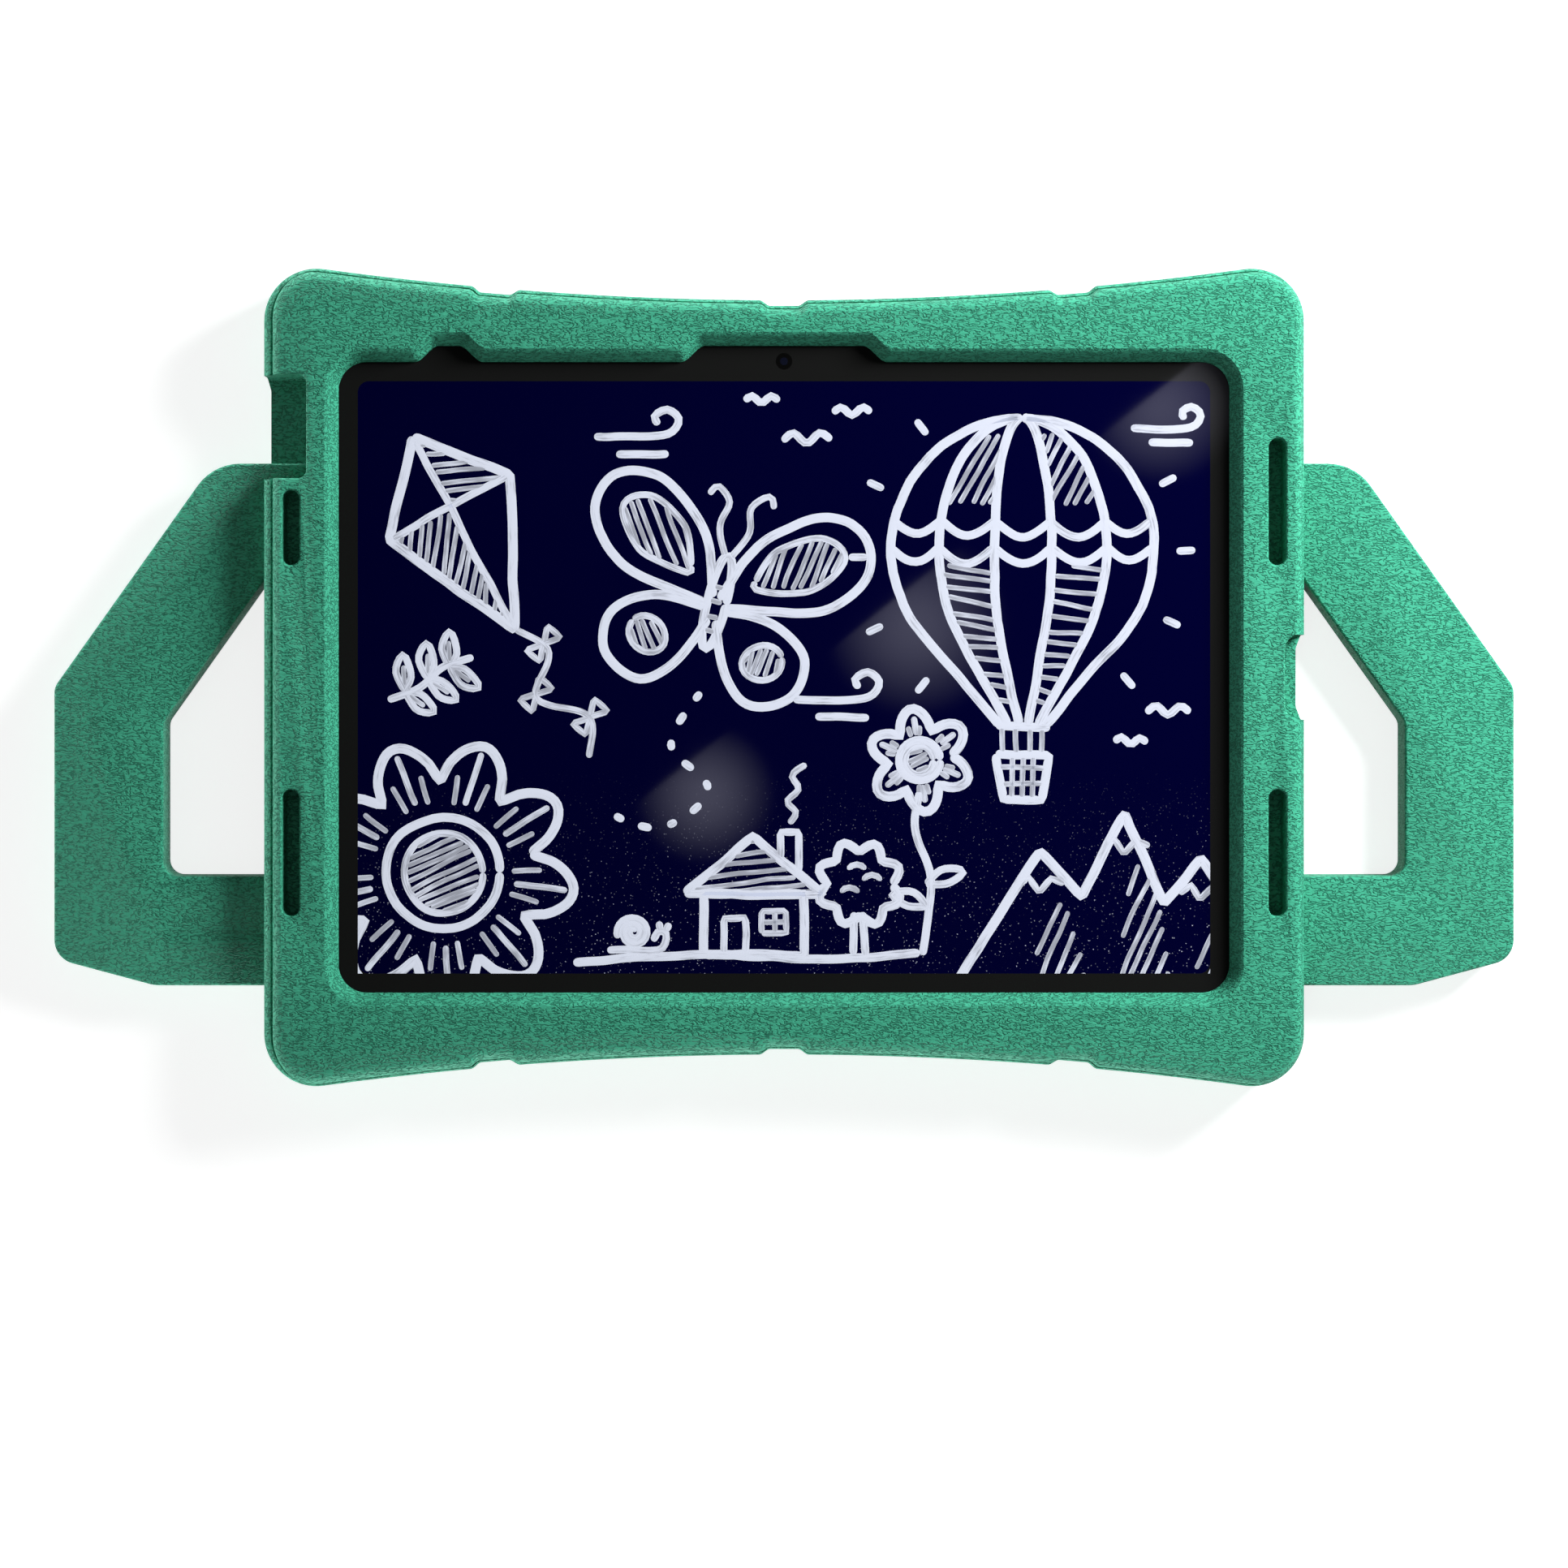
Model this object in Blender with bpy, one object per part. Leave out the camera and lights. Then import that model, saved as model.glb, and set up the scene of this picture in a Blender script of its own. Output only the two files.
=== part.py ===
"""Children's foam tablet case with two side arms, and the tablet that it holds.

The case lies on its back. Seen from the front, +X is right, +Y is up and +Z comes
out of the screen. The origin is under the middle of the case, on the surface that
it lies on. All lengths are in metres.
"""
import math

import bmesh
import bpy
from mathutils import Vector

MM = 0.001

# Gap between pieces that touch
FIT = 0.3 * MM
# How far a cutter reaches past the surface that it opens
OVERCUT = 2.0 * MM
# One straight piece of a round corner turns by about this angle
ARC_STEP = math.radians(15.0)

# Display, and the border of the tablet around it
SCREEN_LENGTH = 226.5 * MM
SCREEN_WIDTH = 157.4 * MM
SCREEN_BORDER = 11.05 * MM
SCREEN_MARGIN = 1.2 * MM
PANEL_THICKNESS = 1.5 * MM

# Tablet body
TABLET_CORNER = 14.0 * MM
TABLET_BACK_ROUND = 1.2 * MM
HOUSING_DEPTH = 5.9 * MM
HOUSING_FLOOR = 0.9 * MM
HOUSING_WALL = 1.4 * MM
GLASS_THICKNESS = 0.8 * MM

# Walls of the case around the tablet
BACK_WALL = 10.0 * MM
LIP_THICKNESS = 4.4 * MM
LIP_COVER = 6.0 * MM
LIP_SLOPE = 2.9 * MM
SIGHT_CORNER = 7.5 * MM
SIDE_WALL = 13.9 * MM
CORNER_WALL = 18.95 * MM
WAIST_WALL = 10.45 * MM
CASE_CORNER = 14.0 * MM
WAIST_STEP = 12.0 * MM
BACK_ROUND = 1.5 * MM
FRONT_ROUND = 3.0 * MM
ROUND_STEPS = 3

# Moulding seam around the side wall, and how far the front stands back from it
SEAM_BELOW_FRONT = 5.0 * MM
SEAM_RISE = 0.5 * MM
SEAM_LEFT = 2.4 * MM
SEAM_RIGHT = 0.5 * MM
SEAM_TOP = 0.9 * MM
SEAM_BOTTOM = 0.5 * MM

# Grip notches in both long edges
NOTCH_COUNT = 3
NOTCH_PITCH = 76.8 * MM
NOTCH_FLAT = 8.0 * MM
NOTCH_SLOPE = 2.3 * MM
NOTCH_DEPTH = 1.5 * MM

# Recesses in the upper lip, one for the front camera and one for the light sensor
LIP_RECESS_RISE = 4.3 * MM
LIP_RECESS_SLOPE = 5.2 * MM
CAMERA_RECESS_FLAT = 43.1 * MM
SENSOR_RECESS_FLAT = 6.5 * MM
SENSOR_FROM_END = 35.3 * MM

# Side arms
ARM_THICKNESS = 11.7 * MM
ARM_LIFT = 0.3 * MM
ARM_BAND = 29.2 * MM
ARM_REACH = 56.7 * MM
ARM_TOP = 57.2 * MM
ARM_BOTTOM = -82.4 * MM
ARM_SHOULDER = -2.6 * MM
ARM_SLOPE = math.radians(54.6)
ARM_HEEL = 26.8 * MM
ARM_HEEL_ANGLE = math.radians(15.0)
ARM_EDGE_ROUND = 0.8 * MM
ARM_TOP_ROUND = 14.0 * MM
ARM_SHOULDER_ROUND = 5.0 * MM
ARM_TOE_ROUND = 6.5 * MM
ARM_HEEL_ROUND = 10.0 * MM
ARM_HOLE_ROUND = 4.0 * MM
ARM_ROOT_DEPTH = 1.4 * MM

# Sound slots in the front of the frame
SLOT_WIDTH = 4.6 * MM
SLOT_LENGTH = 33.5 * MM
SLOT_FROM_LONG_EDGE = 26.55 * MM
SLOT_EDGE_DISTANCE = 8.0 * MM
SLOT_FLOOR_ABOVE_ARM = 0.4 * MM
SOUND_CHANNEL_HEIGHT = 3.0 * MM
SOUND_CHANNEL_INSET = 3.0 * MM

# Cutout for the power button, on the left
POWER_CUT_DEPTH = 12.1 * MM
POWER_CUT_LENGTH = 27.6 * MM
POWER_CUT_FROM_TOP = 9.45 * MM
POWER_CUT_CORNER = 2.3 * MM
POWER_WEB = 3.2 * MM
LEDGE_HEIGHT = 9.0 * MM
POWER_STEP_DEPTH = 2.1 * MM
STEP_END_SLOPE = 3.5 * MM
POWER_WINDOW_LENGTH = 18.0 * MM

# Notch for the charging plug, on the right
PORT_NOTCH_LENGTH = 22.6 * MM
PORT_NOTCH_DEPTH = 6.0 * MM
PORT_NOTCH_CORNER = 4.0 * MM
PORT_STEP_DEPTH = 2.5 * MM
PLUG_WIDTH = 13.0 * MM
PLUG_HEIGHT = 5.6 * MM

# Rear camera, and the hole that it looks through
CAMERA_INSET = 16.0 * MM
CAMERA_RADIUS = 6.0 * MM
CAMERA_BARREL_RADIUS = 3.7 * MM
CAMERA_PROUD = 1.0 * MM
CAMERA_GLASS_RADIUS = 2.9 * MM
CAMERA_GLASS_DEPTH = 0.8 * MM
CAMERA_HOLE_RADIUS = 9.0 * MM
CAMERA_HOLE_FLARE = 3.0 * MM

# Front camera, behind the glass
FRONT_CAMERA_RADIUS = 2.2 * MM
FRONT_CAMERA_DEPTH = 2.6 * MM
FRONT_CAMERA_INSET = 5.75 * MM

# Buttons of the tablet
BUTTON_HEIGHT = 2.4 * MM
BUTTON_PROUD = 0.5 * MM
BUTTON_TRAVEL = 0.25 * MM
BUTTON_FLANGE = 1.2 * MM
BUTTON_FLANGE_THICKNESS = 0.6 * MM
POWER_BUTTON_LENGTH = 12.4 * MM
VOLUME_BUTTON_LENGTH = 10.4 * MM
VOLUME_BUTTON_PITCH = 14.0 * MM
VOLUME_FROM_END = 32.3 * MM
SWITCH_DEPTH = 2.0 * MM
VOLUME_RELIEF = 1.0 * MM

# Pieces inside the tablet
INNER_HEIGHT = 2.9 * MM
BATTERY_TO_SIDE = 18.0 * MM
BATTERY_CORNER = 3.0 * MM
BATTERY_GAP = 0.6 * MM
BOARD_THICKNESS = 0.8 * MM
BOARD_LENGTH = 36.0 * MM
BOARD_TO_END = 12.0 * MM
BOARD_TO_SIDE = 29.0 * MM
CHIP_HEIGHT = 1.3 * MM
CHIP_COUNT = 4
CHIP_SIZE = 14.0 * MM
CHIP_PITCH = 26.0 * MM
SPEAKER_DEPTH = 7.0 * MM
SPEAKER_LENGTH = 28.0 * MM
PORT_WIDTH = 9.2 * MM
PORT_HEIGHT = 3.4 * MM
PORT_LENGTH = 7.4 * MM
PORT_WALL = 0.35 * MM
PORT_BACK = 0.8 * MM
TONGUE_WIDTH = 6.6 * MM
TONGUE_THICKNESS = 0.7 * MM
TONGUE_LENGTH = 4.6 * MM
PORT_BOARD_LENGTH = 8.0 * MM
PORT_BOARD_WIDTH = 22.0 * MM

# Levels above the surface that the case lies on
HOUSING_Z = BACK_WALL + FIT
HOUSING_RIM_Z = HOUSING_Z + HOUSING_DEPTH
GLASS_Z = HOUSING_RIM_Z + FIT
GLASS_TOP_Z = GLASS_Z + GLASS_THICKNESS
LIP_Z = GLASS_TOP_Z + FIT
FRONT_Z = LIP_Z + LIP_THICKNESS
SEAM_Z = FRONT_Z - SEAM_BELOW_FRONT
INNER_Z = HOUSING_Z + HOUSING_FLOOR + FIT
PANEL_TOP_Z = GLASS_Z - FIT
SIDE_MIDDLE_Z = HOUSING_Z + HOUSING_DEPTH / 2.0

# Half sizes seen from the front
TABLET_X = SCREEN_LENGTH / 2.0 + SCREEN_BORDER
TABLET_Y = SCREEN_WIDTH / 2.0 + SCREEN_BORDER
POCKET_X = TABLET_X + FIT
POCKET_Y = TABLET_Y + FIT
CASE_X = POCKET_X + SIDE_WALL
CASE_CORNER_Y = POCKET_Y + CORNER_WALL
CASE_WAIST_Y = POCKET_Y + WAIST_WALL
SIGHT_X = TABLET_X - LIP_COVER
SIGHT_Y = TABLET_Y - LIP_COVER
INSIDE_X = TABLET_X - HOUSING_WALL
INSIDE_Y = TABLET_Y - HOUSING_WALL

SLOT_X = CASE_X - SLOT_EDGE_DISTANCE
ARM_TOP_Z = ARM_LIFT + ARM_THICKNESS
SLOT_FLOOR_Z = ARM_TOP_Z + SLOT_FLOOR_ABOVE_ARM
SLOT_FAR_END = TABLET_Y - SLOT_FROM_LONG_EDGE
SLOT_NEAR_END = SLOT_FAR_END - SLOT_LENGTH
SLOT_Y = (SLOT_NEAR_END + SLOT_FAR_END) / 2.0
POWER_CUT_HIGH = TABLET_Y - POWER_CUT_FROM_TOP
POWER_CUT_LOW = POWER_CUT_HIGH - POWER_CUT_LENGTH
POWER_Y = (POWER_CUT_LOW + POWER_CUT_HIGH) / 2.0
SENSOR_X = -(TABLET_X - SENSOR_FROM_END)
VOLUME_X = -(TABLET_X - VOLUME_FROM_END)
SHORT_SLOT_END = min(SLOT_FAR_END, POWER_CUT_LOW - POWER_WEB)
BOARD_X = -(INSIDE_X - BOARD_TO_END)
PORT_X = TABLET_X - PORT_LENGTH
PORT_BOARD_X = PORT_X - FIT - PORT_BOARD_LENGTH
CAMERA_X = -(TABLET_X - CAMERA_INSET)
CAMERA_Y = TABLET_Y - CAMERA_INSET


def clear_scene():
    """Start from an empty scene."""
    for item in list(bpy.data.objects):
        bpy.data.objects.remove(item, do_unlink=True)


def make_material(name, colour, roughness, metallic=0.0):
    """A plain Principled finish."""
    material = bpy.data.materials.new(name)
    material.use_nodes = True
    shader = material.node_tree.nodes["Principled BSDF"]
    shader.inputs["Base Color"].default_value = (*colour, 1.0)
    shader.inputs["Roughness"].default_value = roughness
    shader.inputs["Metallic"].default_value = metallic
    return material


def rounded(corners):
    """Closed outline through corners given as (x, y, radius), radius 0 for a sharp one."""
    points = []
    count = len(corners)
    for index, (x, y, radius) in enumerate(corners):
        corner = Vector((x, y))
        if radius <= 0.0:
            points.append(corner)
            continue
        before = (Vector(corners[index - 1][:2]) - corner).normalized()
        after = (Vector(corners[(index + 1) % count][:2]) - corner).normalized()
        turn = math.pi - before.angle(after)
        middle = corner + (before + after).normalized() * radius / math.cos(turn / 2.0)
        start = corner + before * radius * math.tan(turn / 2.0) - middle
        side = 1.0 if before.cross(after) < 0.0 else -1.0
        steps = max(2, round(turn / ARC_STEP))
        for step in range(steps + 1):
            angle = side * turn * step / steps
            spoke = Vector((start.x * math.cos(angle) - start.y * math.sin(angle),
                            start.x * math.sin(angle) + start.y * math.cos(angle)))
            points.append(middle + spoke)
    return points


def rectangle(x_low, x_high, y_low, y_high, radius=0.0):
    """Outline of an upright rectangle with equal corners, anticlockwise."""
    return rounded([(x_low, y_low, radius), (x_high, y_low, radius),
                    (x_high, y_high, radius), (x_low, y_high, radius)])


def circle(x, y, radius, sides=24):
    """Outline of a circle, anticlockwise."""
    turns = (2.0 * math.pi * index / sides for index in range(sides))
    return [Vector((x + radius * math.cos(turn), y + radius * math.sin(turn))) for turn in turns]


def inset(points, distance):
    """Move an anticlockwise outline inwards; distance is a number or a rule of the outward normal."""
    moved = []
    count = len(points)
    for index, point in enumerate(points):
        back = (point - points[index - 1]).normalized()
        ahead = (points[(index + 1) % count] - point).normalized()
        outward_back = Vector((back.y, -back.x))
        outward_ahead = Vector((ahead.y, -ahead.x))
        outward = (outward_back + outward_ahead).normalized()
        amount = distance(outward) if callable(distance) else distance
        moved.append(point - outward * amount / outward.dot(outward_ahead))
    return moved


def loft(name, sections, material=None):
    """Closed solid through outlines of equal length, given as (outline, z) from low to high."""
    mesh = bpy.data.meshes.new(name)
    build = bmesh.new()
    rings = [[build.verts.new((point.x, point.y, z)) for point in outline]
             for outline, z in sections]
    count = len(rings[0])
    for low, high in zip(rings, rings[1:]):
        for index in range(count):
            following = (index + 1) % count
            build.faces.new((low[index], low[following], high[following], high[index]))
    build.faces.new(reversed(rings[0]))
    build.faces.new(rings[-1])
    build.to_mesh(mesh)
    build.free()
    item = bpy.data.objects.new(name, mesh)
    bpy.context.scene.collection.objects.link(item)
    if material:
        item.data.materials.append(material)
    return item


def plate(name, outline, z_low, z_high, material=None):
    """Outline pulled straight up between two levels."""
    return loft(name, [(outline, z_low), (outline, z_high)], material)


def block(name, x_range, y_range, z_range, material=None, radius=0.0):
    """Upright block, with its corners rounded as seen from the front."""
    outline = rectangle(min(x_range), max(x_range), min(y_range), max(y_range), radius)
    return plate(name, outline, min(z_range), max(z_range), material)


def combine(target, tool, operation):
    """Join a tool to a solid, or cut it out, and keep the tool out of the model."""
    tool.hide_render = True
    tool.hide_viewport = False
    tool.display_type = 'WIRE'
    step = target.modifiers.new(tool.name, 'BOOLEAN')
    step.operation = operation
    step.solver = 'EXACT'
    step.object = tool


def cut(target, tool):
    """Cut a tool out of a solid."""
    combine(target, tool, 'DIFFERENCE')


def join(target, tool):
    """Fuse a tool to a solid."""
    combine(target, tool, 'UNION')


def shade(item):
    """Smooth shading with crisp edges."""
    item.data.shade_smooth()
    item.data.set_sharp_from_angle(angle=math.radians(35.0))


def notch_corners(centre, edge_height):
    """Corners of one grip notch in the upper edge, from right to left."""
    half_flat = NOTCH_FLAT / 2.0
    half_base = half_flat + NOTCH_SLOPE
    floor = edge_height(centre) - NOTCH_DEPTH
    return [(centre + half_base, edge_height(centre + half_base)),
            (centre + half_flat, floor),
            (centre - half_flat, floor),
            (centre - half_base, edge_height(centre - half_base))]


def case_outline():
    """Outside of the frame: straight short sides, long edges that bow in to a waist."""
    corner_x = CASE_X - CASE_CORNER
    corner_y = CASE_CORNER_Y - CASE_CORNER
    drop = CASE_WAIST_Y - corner_y
    bow = (corner_x ** 2 + drop ** 2 - CASE_CORNER ** 2) / (2.0 * (CASE_CORNER - drop))
    lean = math.atan2(corner_x, bow + drop)

    def edge_height(x):
        return CASE_WAIST_Y + bow - math.sqrt(bow ** 2 - x ** 2)

    corner = []
    sweep = math.pi / 2.0 + lean
    steps = round(sweep / ARC_STEP)
    for step in range(steps + 1):
        angle = sweep * step / steps
        corner.append(Vector((corner_x + CASE_CORNER * math.cos(angle),
                              corner_y + CASE_CORNER * math.sin(angle))))

    middles = [(index - (NOTCH_COUNT - 1) / 2.0) * NOTCH_PITCH for index in range(NOTCH_COUNT)]
    edge = [point for middle in middles for point in notch_corners(middle, edge_height)]
    reach = corner[-1].x
    spans = round(2.0 * reach / WAIST_STEP)
    keep_off = NOTCH_FLAT / 2.0 + NOTCH_SLOPE + WAIST_STEP / 4.0
    for index in range(1, spans):
        x = reach - 2.0 * reach * index / spans
        if all(abs(x - middle) > keep_off for middle in middles):
            edge.append((x, edge_height(x)))
    edge.sort(reverse=True)

    left_corner = [Vector((-point.x, point.y)) for point in reversed(corner)]
    upper = corner + [Vector(point) for point in edge] + left_corner
    lower = [Vector((-point.x, -point.y)) for point in upper]
    return upper + lower


def seam_setback(outward):
    """How far the front stands back from the seam on the side that faces this way."""
    across = SEAM_RIGHT if outward.x > 0.0 else SEAM_LEFT
    along = SEAM_TOP if outward.y > 0.0 else SEAM_BOTTOM
    return across * outward.x ** 2 + along * outward.y ** 2


def frame_solid(material):
    """Frame of the case before anything is cut: rounded back, seam and rounded front."""
    outline = case_outline()
    front = inset(outline, seam_setback)
    sections = []
    for step in range(ROUND_STEPS + 1):
        angle = math.pi / 2.0 * step / ROUND_STEPS
        sections.append((inset(outline, BACK_ROUND * (1.0 - math.sin(angle))),
                         BACK_ROUND * (1.0 - math.cos(angle))))
    sections.append((outline, SEAM_Z))
    sections.append((front, SEAM_Z + SEAM_RISE))
    for step in range(ROUND_STEPS + 1):
        angle = math.pi / 2.0 * step / ROUND_STEPS
        sections.append((inset(front, FRONT_ROUND * (1.0 - math.cos(angle))),
                         FRONT_Z - FRONT_ROUND * (1.0 - math.sin(angle))))
    return loft("case", sections, material)


def sight_outline():
    """Edge of the lip over the glass, with its two recesses in the upper edge."""
    corners = [(-SIGHT_X, -SIGHT_Y, SIGHT_CORNER), (SIGHT_X, -SIGHT_Y, SIGHT_CORNER),
               (SIGHT_X, SIGHT_Y, SIGHT_CORNER)]
    for middle, flat in ((0.0, CAMERA_RECESS_FLAT), (SENSOR_X, SENSOR_RECESS_FLAT)):
        half_flat = flat / 2.0
        half_base = half_flat + LIP_RECESS_SLOPE
        corners += [(middle + half_base, SIGHT_Y, 0.0),
                    (middle + half_flat, SIGHT_Y + LIP_RECESS_RISE, 0.0),
                    (middle - half_flat, SIGHT_Y + LIP_RECESS_RISE, 0.0),
                    (middle - half_base, SIGHT_Y, 0.0)]
    corners.append((-SIGHT_X, SIGHT_Y, SIGHT_CORNER))
    return rounded(corners)


def cut_sight_window(case):
    """Open the front: the lip slopes back from the glass to the front face."""
    sight = sight_outline()
    front = inset(sight, -LIP_SLOPE)
    cut(case, loft("sight_cutter", [(sight, LIP_Z - OVERCUT), (sight, LIP_Z),
                                    (front, FRONT_Z), (front, FRONT_Z + OVERCUT)]))


def cut_tablet_pocket(case):
    """Pocket that grips the tablet, and the relief over its volume buttons."""
    cut(case, block("pocket_cutter", (-POCKET_X, POCKET_X), (-POCKET_Y, POCKET_Y),
                    (BACK_WALL, LIP_Z), radius=TABLET_CORNER + FIT))
    half_length = (VOLUME_BUTTON_PITCH + VOLUME_BUTTON_LENGTH) / 2.0 + VOLUME_RELIEF
    half_height = BUTTON_HEIGHT / 2.0 + VOLUME_RELIEF
    cut(case, block("volume_relief_cutter",
                    (VOLUME_X - half_length, VOLUME_X + half_length),
                    (POCKET_Y - OVERCUT, POCKET_Y + VOLUME_RELIEF),
                    (SIDE_MIDDLE_Z - half_height, SIDE_MIDDLE_Z + half_height)))


def cut_sound_slot(case, name, side, y_low, y_high):
    """Slot in the front of the frame, and the channel that brings the sound to it."""
    half = SLOT_WIDTH / 2.0
    cut(case, block(name + "_slot_cutter", (side * SLOT_X - half, side * SLOT_X + half),
                    (y_low, y_high), (SLOT_FLOOR_Z, FRONT_Z + OVERCUT), radius=half * 0.999))
    cut(case, block(name + "_channel_cutter", (side * (POCKET_X - OVERCUT), side * SLOT_X),
                    (y_low + SOUND_CHANNEL_INSET, y_high - SOUND_CHANNEL_INSET),
                    (SLOT_FLOOR_Z + FIT, SLOT_FLOOR_Z + FIT + SOUND_CHANNEL_HEIGHT)))


def cut_sound_slots(case):
    """Four slots; the upper left one is short, to clear the power button's cutout."""
    cut_sound_slot(case, "right_top", 1.0, SLOT_NEAR_END, SLOT_FAR_END)
    cut_sound_slot(case, "right_bottom", 1.0, -SLOT_FAR_END, -SLOT_NEAR_END)
    cut_sound_slot(case, "left_bottom", -1.0, -SLOT_FAR_END, -SLOT_NEAR_END)
    cut_sound_slot(case, "left_top", -1.0, SLOT_NEAR_END, SHORT_SLOT_END)


def side_step_outline(side, depth, y_low, y_high):
    """Shallow step in a short side, over its full depth, with sloped ends."""
    outside = side * (CASE_X + OVERCUT)
    inside = side * (CASE_X - depth)
    past = STEP_END_SLOPE * OVERCUT / depth
    points = [Vector((outside, y_low - past)), Vector((inside, y_low + STEP_END_SLOPE)),
              Vector((inside, y_high - STEP_END_SLOPE)), Vector((outside, y_high + past))]
    return points if side < 0.0 else points[::-1]


def cut_power_cutout(case):
    """Finger space at the power button, open to the front and to the left."""
    inner_x = -(CASE_X - POWER_CUT_DEPTH)
    outer_x = -(CASE_X + OVERCUT)
    finger = rounded([(outer_x, POWER_CUT_LOW, 0.0), (inner_x, POWER_CUT_LOW, POWER_CUT_CORNER),
                      (inner_x, POWER_CUT_HIGH, POWER_CUT_CORNER), (outer_x, POWER_CUT_HIGH, 0.0)])
    cut(case, plate("power_cutter", finger, LEDGE_HEIGHT, FRONT_Z + OVERCUT))
    step = side_step_outline(-1.0, POWER_STEP_DEPTH, POWER_CUT_LOW, POWER_CUT_HIGH)
    cut(case, plate("power_step_cutter", step, -OVERCUT, FRONT_Z + OVERCUT))
    half = POWER_WINDOW_LENGTH / 2.0
    half_height = BUTTON_HEIGHT / 2.0 + VOLUME_RELIEF
    cut(case, block("power_window_cutter", (inner_x - FIT, -(POCKET_X - OVERCUT)),
                    (POWER_Y - half, POWER_Y + half),
                    (SIDE_MIDDLE_Z - half_height, SIDE_MIDDLE_Z + half_height)))


def cut_port_notch(case):
    """Space for the charging plug, open to the front and to the right."""
    half = PORT_NOTCH_LENGTH / 2.0
    inner_x = CASE_X - PORT_NOTCH_DEPTH
    outer_x = CASE_X + OVERCUT
    notch = rounded([(inner_x, -half, PORT_NOTCH_CORNER), (outer_x, -half, 0.0),
                     (outer_x, half, 0.0), (inner_x, half, PORT_NOTCH_CORNER)])
    cut(case, plate("port_cutter", notch, LEDGE_HEIGHT, FRONT_Z + OVERCUT))
    step = side_step_outline(1.0, PORT_STEP_DEPTH, -half, half)
    cut(case, plate("port_step_cutter", step, -OVERCUT, FRONT_Z + OVERCUT))
    cut(case, block("plug_cutter", (POCKET_X - OVERCUT, inner_x + FIT),
                    (-PLUG_WIDTH / 2.0, PLUG_WIDTH / 2.0),
                    (SIDE_MIDDLE_Z - PLUG_HEIGHT / 2.0, SIDE_MIDDLE_Z + PLUG_HEIGHT / 2.0)))


def cut_camera_hole(case):
    """Hole behind the rear camera, wider at the back."""
    slope = CAMERA_HOLE_FLARE / BACK_WALL
    wide = CAMERA_HOLE_RADIUS + slope * (BACK_WALL + OVERCUT)
    narrow = CAMERA_HOLE_RADIUS - slope * OVERCUT
    cut(case, loft("camera_hole_cutter", [
        (circle(CAMERA_X, CAMERA_Y, wide), -OVERCUT),
        (circle(CAMERA_X, CAMERA_Y, narrow), BACK_WALL + OVERCUT)]))


def arm_outlines(side):
    """Outside of one arm and the hole in it, both anticlockwise."""
    tip_x = CASE_X + ARM_REACH
    root_x = POCKET_X + ARM_ROOT_DEPTH
    run = math.cos(ARM_SLOPE)
    rise = math.sin(ARM_SLOPE)
    top_x = tip_x - (ARM_TOP - ARM_SHOULDER) * run / rise
    heel_rise = ARM_HEEL * math.tan(ARM_HEEL_ANGLE)
    outer = [(root_x, ARM_BOTTOM, 0.0),
             (tip_x - ARM_HEEL, ARM_BOTTOM, ARM_HEEL_ROUND),
             (tip_x, ARM_BOTTOM + heel_rise, ARM_TOE_ROUND),
             (tip_x, ARM_SHOULDER, ARM_SHOULDER_ROUND),
             (top_x, ARM_TOP, ARM_TOP_ROUND),
             (root_x, ARM_TOP, 0.0)]
    hole_x = tip_x - ARM_BAND
    hole_root_x = root_x - OVERCUT
    slope_x = tip_x - ARM_BAND * rise
    slope_y = ARM_SHOULDER - ARM_BAND * run

    def slope_height(x):
        return slope_y + (slope_x - x) * rise / run

    hole = [(hole_root_x, ARM_BOTTOM + ARM_BAND, 0.0),
            (hole_x, ARM_BOTTOM + ARM_BAND, ARM_HOLE_ROUND),
            (hole_x, slope_height(hole_x), ARM_HOLE_ROUND),
            (hole_root_x, slope_height(hole_root_x), 0.0)]
    if side > 0.0:
        return rounded(outer), rounded(hole)
    mirrored = [[(-x, y, radius) for x, y, radius in reversed(corners)] for corners in (outer, hole)]
    return rounded(mirrored[0]), rounded(mirrored[1])


def add_arm(case, side, name):
    """One flat arm with a hand hole, fused to the frame."""
    outline, hole = arm_outlines(side)
    edge = ARM_EDGE_ROUND
    low_z = ARM_LIFT + edge
    high_z = ARM_TOP_Z - edge
    arm = loft(name, [(inset(outline, edge), ARM_LIFT), (outline, low_z),
                      (outline, high_z), (inset(outline, edge), ARM_TOP_Z)])
    past = edge + OVERCUT
    cut(arm, loft(name + "_hole_cutter", [
        (inset(hole, -past), low_z - past), (hole, low_z),
        (hole, high_z), (inset(hole, -past), high_z + past)]))
    join(case, arm)


def make_case():
    """One foam moulding: frame, lip, pocket, openings and both arms."""
    case = frame_solid(make_material("green_foam", (0.055, 0.32, 0.20), 0.75))
    cut_tablet_pocket(case)
    cut_sight_window(case)
    cut_sound_slots(case)
    cut_power_cutout(case)
    cut_port_notch(case)
    cut_camera_hole(case)
    add_arm(case, -1.0, "left_arm")
    add_arm(case, 1.0, "right_arm")
    shade(case)


def button_slot(name, facing, middle, length):
    """Cutter for a button's slot in the housing wall; facing is 'left' or 'top'."""
    half = length / 2.0 + FIT
    half_height = BUTTON_HEIGHT / 2.0 + FIT
    heights = (SIDE_MIDDLE_Z - half_height, SIDE_MIDDLE_Z + half_height)
    if facing == 'left':
        return block(name, (-TABLET_X - OVERCUT, -INSIDE_X + OVERCUT), (middle - half, middle + half),
                     heights)
    return block(name, (middle - half, middle + half), (INSIDE_Y - OVERCUT, TABLET_Y + OVERCUT),
                 heights)


def volume_middles():
    """Middles of the two volume buttons along the top edge, keyed by name."""
    half = VOLUME_BUTTON_PITCH / 2.0
    return {"volume_up": VOLUME_X - half, "volume_down": VOLUME_X + half}


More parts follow.
